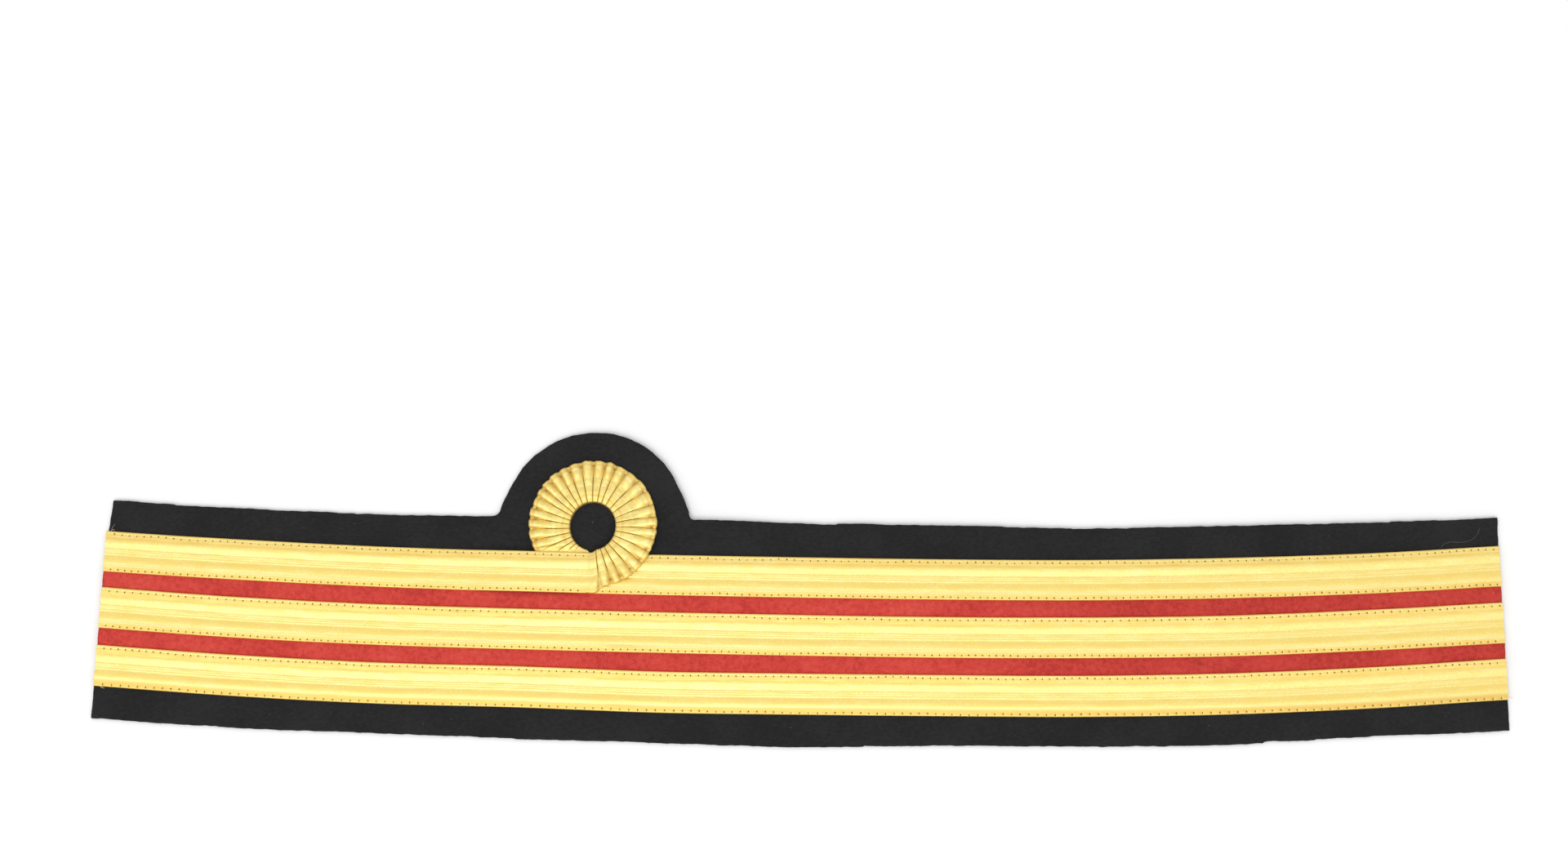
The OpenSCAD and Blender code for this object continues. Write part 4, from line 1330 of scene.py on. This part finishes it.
# Place, turn and, on the scarlet, size of each fleck
blackFlecks = [
    (-186.6, -46.4, 1.5), (-132.5, -49.0, 1.2), (-122.7, -47.3, 2.4), (143.7, -46.2, 0.4),
    (227.0, -41.8, 1.9), (-3.4, -48.8, 0.1), (98.9, 22.4, 0.6), (-75.0, 23.1, 1.6),
    (-52.0, 47.2, 0.9), (60.5, 18.9, 2.2), (-160.2, 21.6, 2.8), (188.0, 21.5, 1.1),
]
redFlecks = [
    (225.2, 1.2, 1.7, 0.9), (225.6, -0.6, 1.5, 0.7), (226.0, -2.9, 1.8, 0.8), (245.4, 1.6, 0.8, 0.6),
    (245.5, 1.5, 2.2, 0.5), (58.2, -2.6, 2.0, 0.7), (-131.5, -2.2, 0.3, 0.5),
]
strands = {
    "lint_hair": [0.028, lintMaterial, "black_cloth", [
        [(227.6, 17.6, 1.35), (228.6, 18.9, 1.5), (231, 19.8, 1.6), (234.2, 19.6, 1.5),
         (237.2, 19.9, 1.6), (239.9, 21.3, 1.6), (241.4, 23.3, 1.5), (241.8, 24.9, 1.35)]]],
    "lint_thread": [0.08, lintMaterial, "black_cloth", [
        [(-246.8, 18.3, 1.4), (-246.4, 19.0, 1.6), (-245.9, 19.6, 1.6), (-245.4, 20.5, 1.4)]]],
    "lint_flecks": [0.07, lintMaterial, "black_cloth", [
        fleck(x, y, blackLevel, turn) for x, y, turn in blackFlecks]],
    "lint_on_scarlet": [0.05, paleLintMaterial, "scarlet_cloth", [
        fleck(x, y, redLevel, turn, size) for x, y, turn, size in redFlecks]],
    "loose_wool_tuft": [0.1, blackFibreMaterial, "black_cloth", [
        [(106.6, -50.4, 0.9), (105.4, -51.5, 0.8), (104.2, -52.3, 0.5)],
        [(106.2, -50.6, 0.8), (105.6, -51.7, 0.6), (105.3, -52.4, 0.4)]]],
    "loose_end_left": [0.09, goldThreadMaterial, "gold_lace", [
        [(-247.6, -36.3, 2.2), (-247.0, -37.3, 2.1), (-246.0, -37.9, 1.7), (-245.2, -38.0, 1.4)],
        [(-246.2, 17.0, 2.3), (-246.6, 17.9, 2.2), (-246.0, 18.7, 1.8), (-245.4, 18.1, 1.5)]]],
    "loose_end_right": [0.09, goldThreadMaterial, "gold_lace", [
        [(246.5, -35.6, 1.75), (248.2, -35.2, 1.9), (249.6, -35.0, 1.9), (251.0, -35.4, 1.7)]]],
    "frayed_ends": [0.05, goldThreadMaterial, "gold_lace", frayedEnds()],
}


def makeStrand(points, radius, sides=6):
    # One round thread along smoothed points: its points and faces
    points = np.array(points, float)
    steps = np.concatenate([[0], np.cumsum(np.linalg.norm(np.diff(points, axis=0), axis=1))])
    fine = np.linspace(0, steps[-1], max(7, int(steps[-1] / 0.5)))
    line = np.column_stack([np.interp(fine, steps, points[:, k]) for k in range(3)])
    for _ in range(3):
        line[1:-1] = (line[:-2] + 2 * line[1:-1] + line[2:]) / 4
    ahead = np.gradient(line, axis=0)
    ahead /= np.linalg.norm(ahead, axis=1)[:, None]
    aside = np.cross(ahead, (0, 0, 1))
    aside /= np.linalg.norm(aside, axis=1)[:, None]
    up = np.cross(aside, ahead)
    turns = np.arange(sides) * 2 * math.pi / sides
    taper = np.minimum(1, 0.4 + np.minimum(fine, steps[-1] - fine) / 1.2)[:, None, None]
    across, upward = np.cos(turns)[None, :, None], np.sin(turns)[None, :, None]
    ring = line[:, None, :] + radius * taper * (across * aside[:, None, :] + upward * up[:, None, :])
    faces = []
    for r in range(0, (len(line) - 1) * sides, sides):
        for k in range(sides):
            after = (k + 1) % sides
            faces.append([r + k, r + after, r + sides + after, r + sides + k])
    faces += [list(range(sides))[::-1], [(len(line) - 1) * sides + k for k in range(sides)]]
    return ring.reshape(-1, 3), faces


strandObjects = {}
for name, (radius, material, slot, lines) in strands.items():
    points, faces = [], []
    for line in lines:
        ring, sides = makeStrand(line, radius)
        faces += [[k + len(points) for k in face] for face in sides]
        points += ring.tolist()
    made = makeObject(name, points, faces)
    giveValues(made, "tone", np.full(len(points), 0.6))
    made.data.materials.append(material)
    strandObjects[name] = (made, slot)
print("loose threads made")


# Everything rides on the one body, and each soft CAD solid gives way to its remade piece
lower, middle, upper = laceObjects
pieces = [
    (backing, "black_cloth", "backing_cloth"),
    (scarletUpper, "scarlet_cloth", "scarlet_strip_upper"),
    (scarletLower, "scarlet_cloth", "scarlet_strip_lower"),
    (lower, "gold_lace", "lace_lower"),
    (middle, "gold_lace", "lace_middle"),
    (upper, "gold_lace", "lace_upper_with_curl"),
]
for piece, slot, node in pieces:
    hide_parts(node)
everyPiece = [(piece, slot) for piece, slot, _ in pieces]
everyPiece += [(stitches, "gold_lace") for stitches in stitchObjects]
everyPiece += fibreObjects + list(strandObjects.values())
for piece, slot in everyPiece:
    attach(piece, "root")


# Camera, as it looks down on the strip in the photograph, and a pale floor in soft light
studio = {
    "lens": 50, "sensor": 36, "place": (-0.005325, -0.078771, 0.7735), "tilt": 10.2, "roll": 0.7036,
    "floor": (0.92, 0.92, 0.92, 1), "floorHalf": 15000, "floorDrop": 0.05,
    "world": (0.62, 1.0), "worldHeights": (0.1, 0.85),      # strength near the horizon and overhead
    "key": 12, "keySize": (1.3, 1.1), "keyPlace": (-0.28, -1.0, 1.72),
}
scene = bpy.context.scene

lens = bpy.data.cameras.new("camera")
lens.lens, lens.sensor_width = studio["lens"], studio["sensor"]
camera = bpy.data.objects.new("camera", lens)
camera.location = studio["place"]
camera.rotation_euler = (math.radians(studio["tilt"]), 0, math.radians(studio["roll"]))
scene.collection.objects.link(camera)
scene.camera = camera

far, down = studio["floorHalf"], -studio["floorDrop"]
corners = [(-far, -far, down), (far, -far, down), (far, far, down), (-far, far, down)]
floor = makeObject("floor", corners, [[0, 1, 2, 3]], False)
floorMaterial, floorTree, floorShader = startMaterial("paleFloor")
floorLook = {"Base Color": studio["floor"], "Roughness": 0.9, "Specular IOR Level": 0.1}
setInputs(floorTree, floorShader, floorLook)
floor.data.materials.append(floorMaterial)
floor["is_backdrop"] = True

world = bpy.data.worlds.new("softStudio")
scene.world = world
world.use_nodes = True
skyTree = world.node_tree
sky = next(n for n in skyTree.nodes if n.type == "BACKGROUND")
outlook = place(skyTree, "ShaderNodeTexCoord").outputs["Generated"]
upward = place(skyTree, "ShaderNodeSeparateXYZ", {0: outlook}).outputs[2]
strength = remap(skyTree, upward, *studio["worldHeights"], *studio["world"])
setInputs(skyTree, sky, {"Color": (1, 1, 1, 1), "Strength": strength})

keyLight = bpy.data.lights.new("frontSoftbox", "AREA")
keyLight.shape = "RECTANGLE"
keyLight.size, keyLight.size_y = studio["keySize"]
keyLight.energy = studio["key"]
keyLamp = bpy.data.objects.new("frontSoftbox", keyLight)
keyLamp.location = studio["keyPlace"]
keyLamp.rotation_euler = (-Vector(studio["keyPlace"])).to_track_quat("-Z", "Y").to_euler()
scene.collection.objects.link(keyLamp)
scene.view_settings.view_transform = "Standard"
print("studio made")


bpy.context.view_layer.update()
triangles = {p.name: sum(len(f.vertices) - 2 for f in p.data.polygons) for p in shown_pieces()}
print("triangles", sum(triangles.values()), triangles)
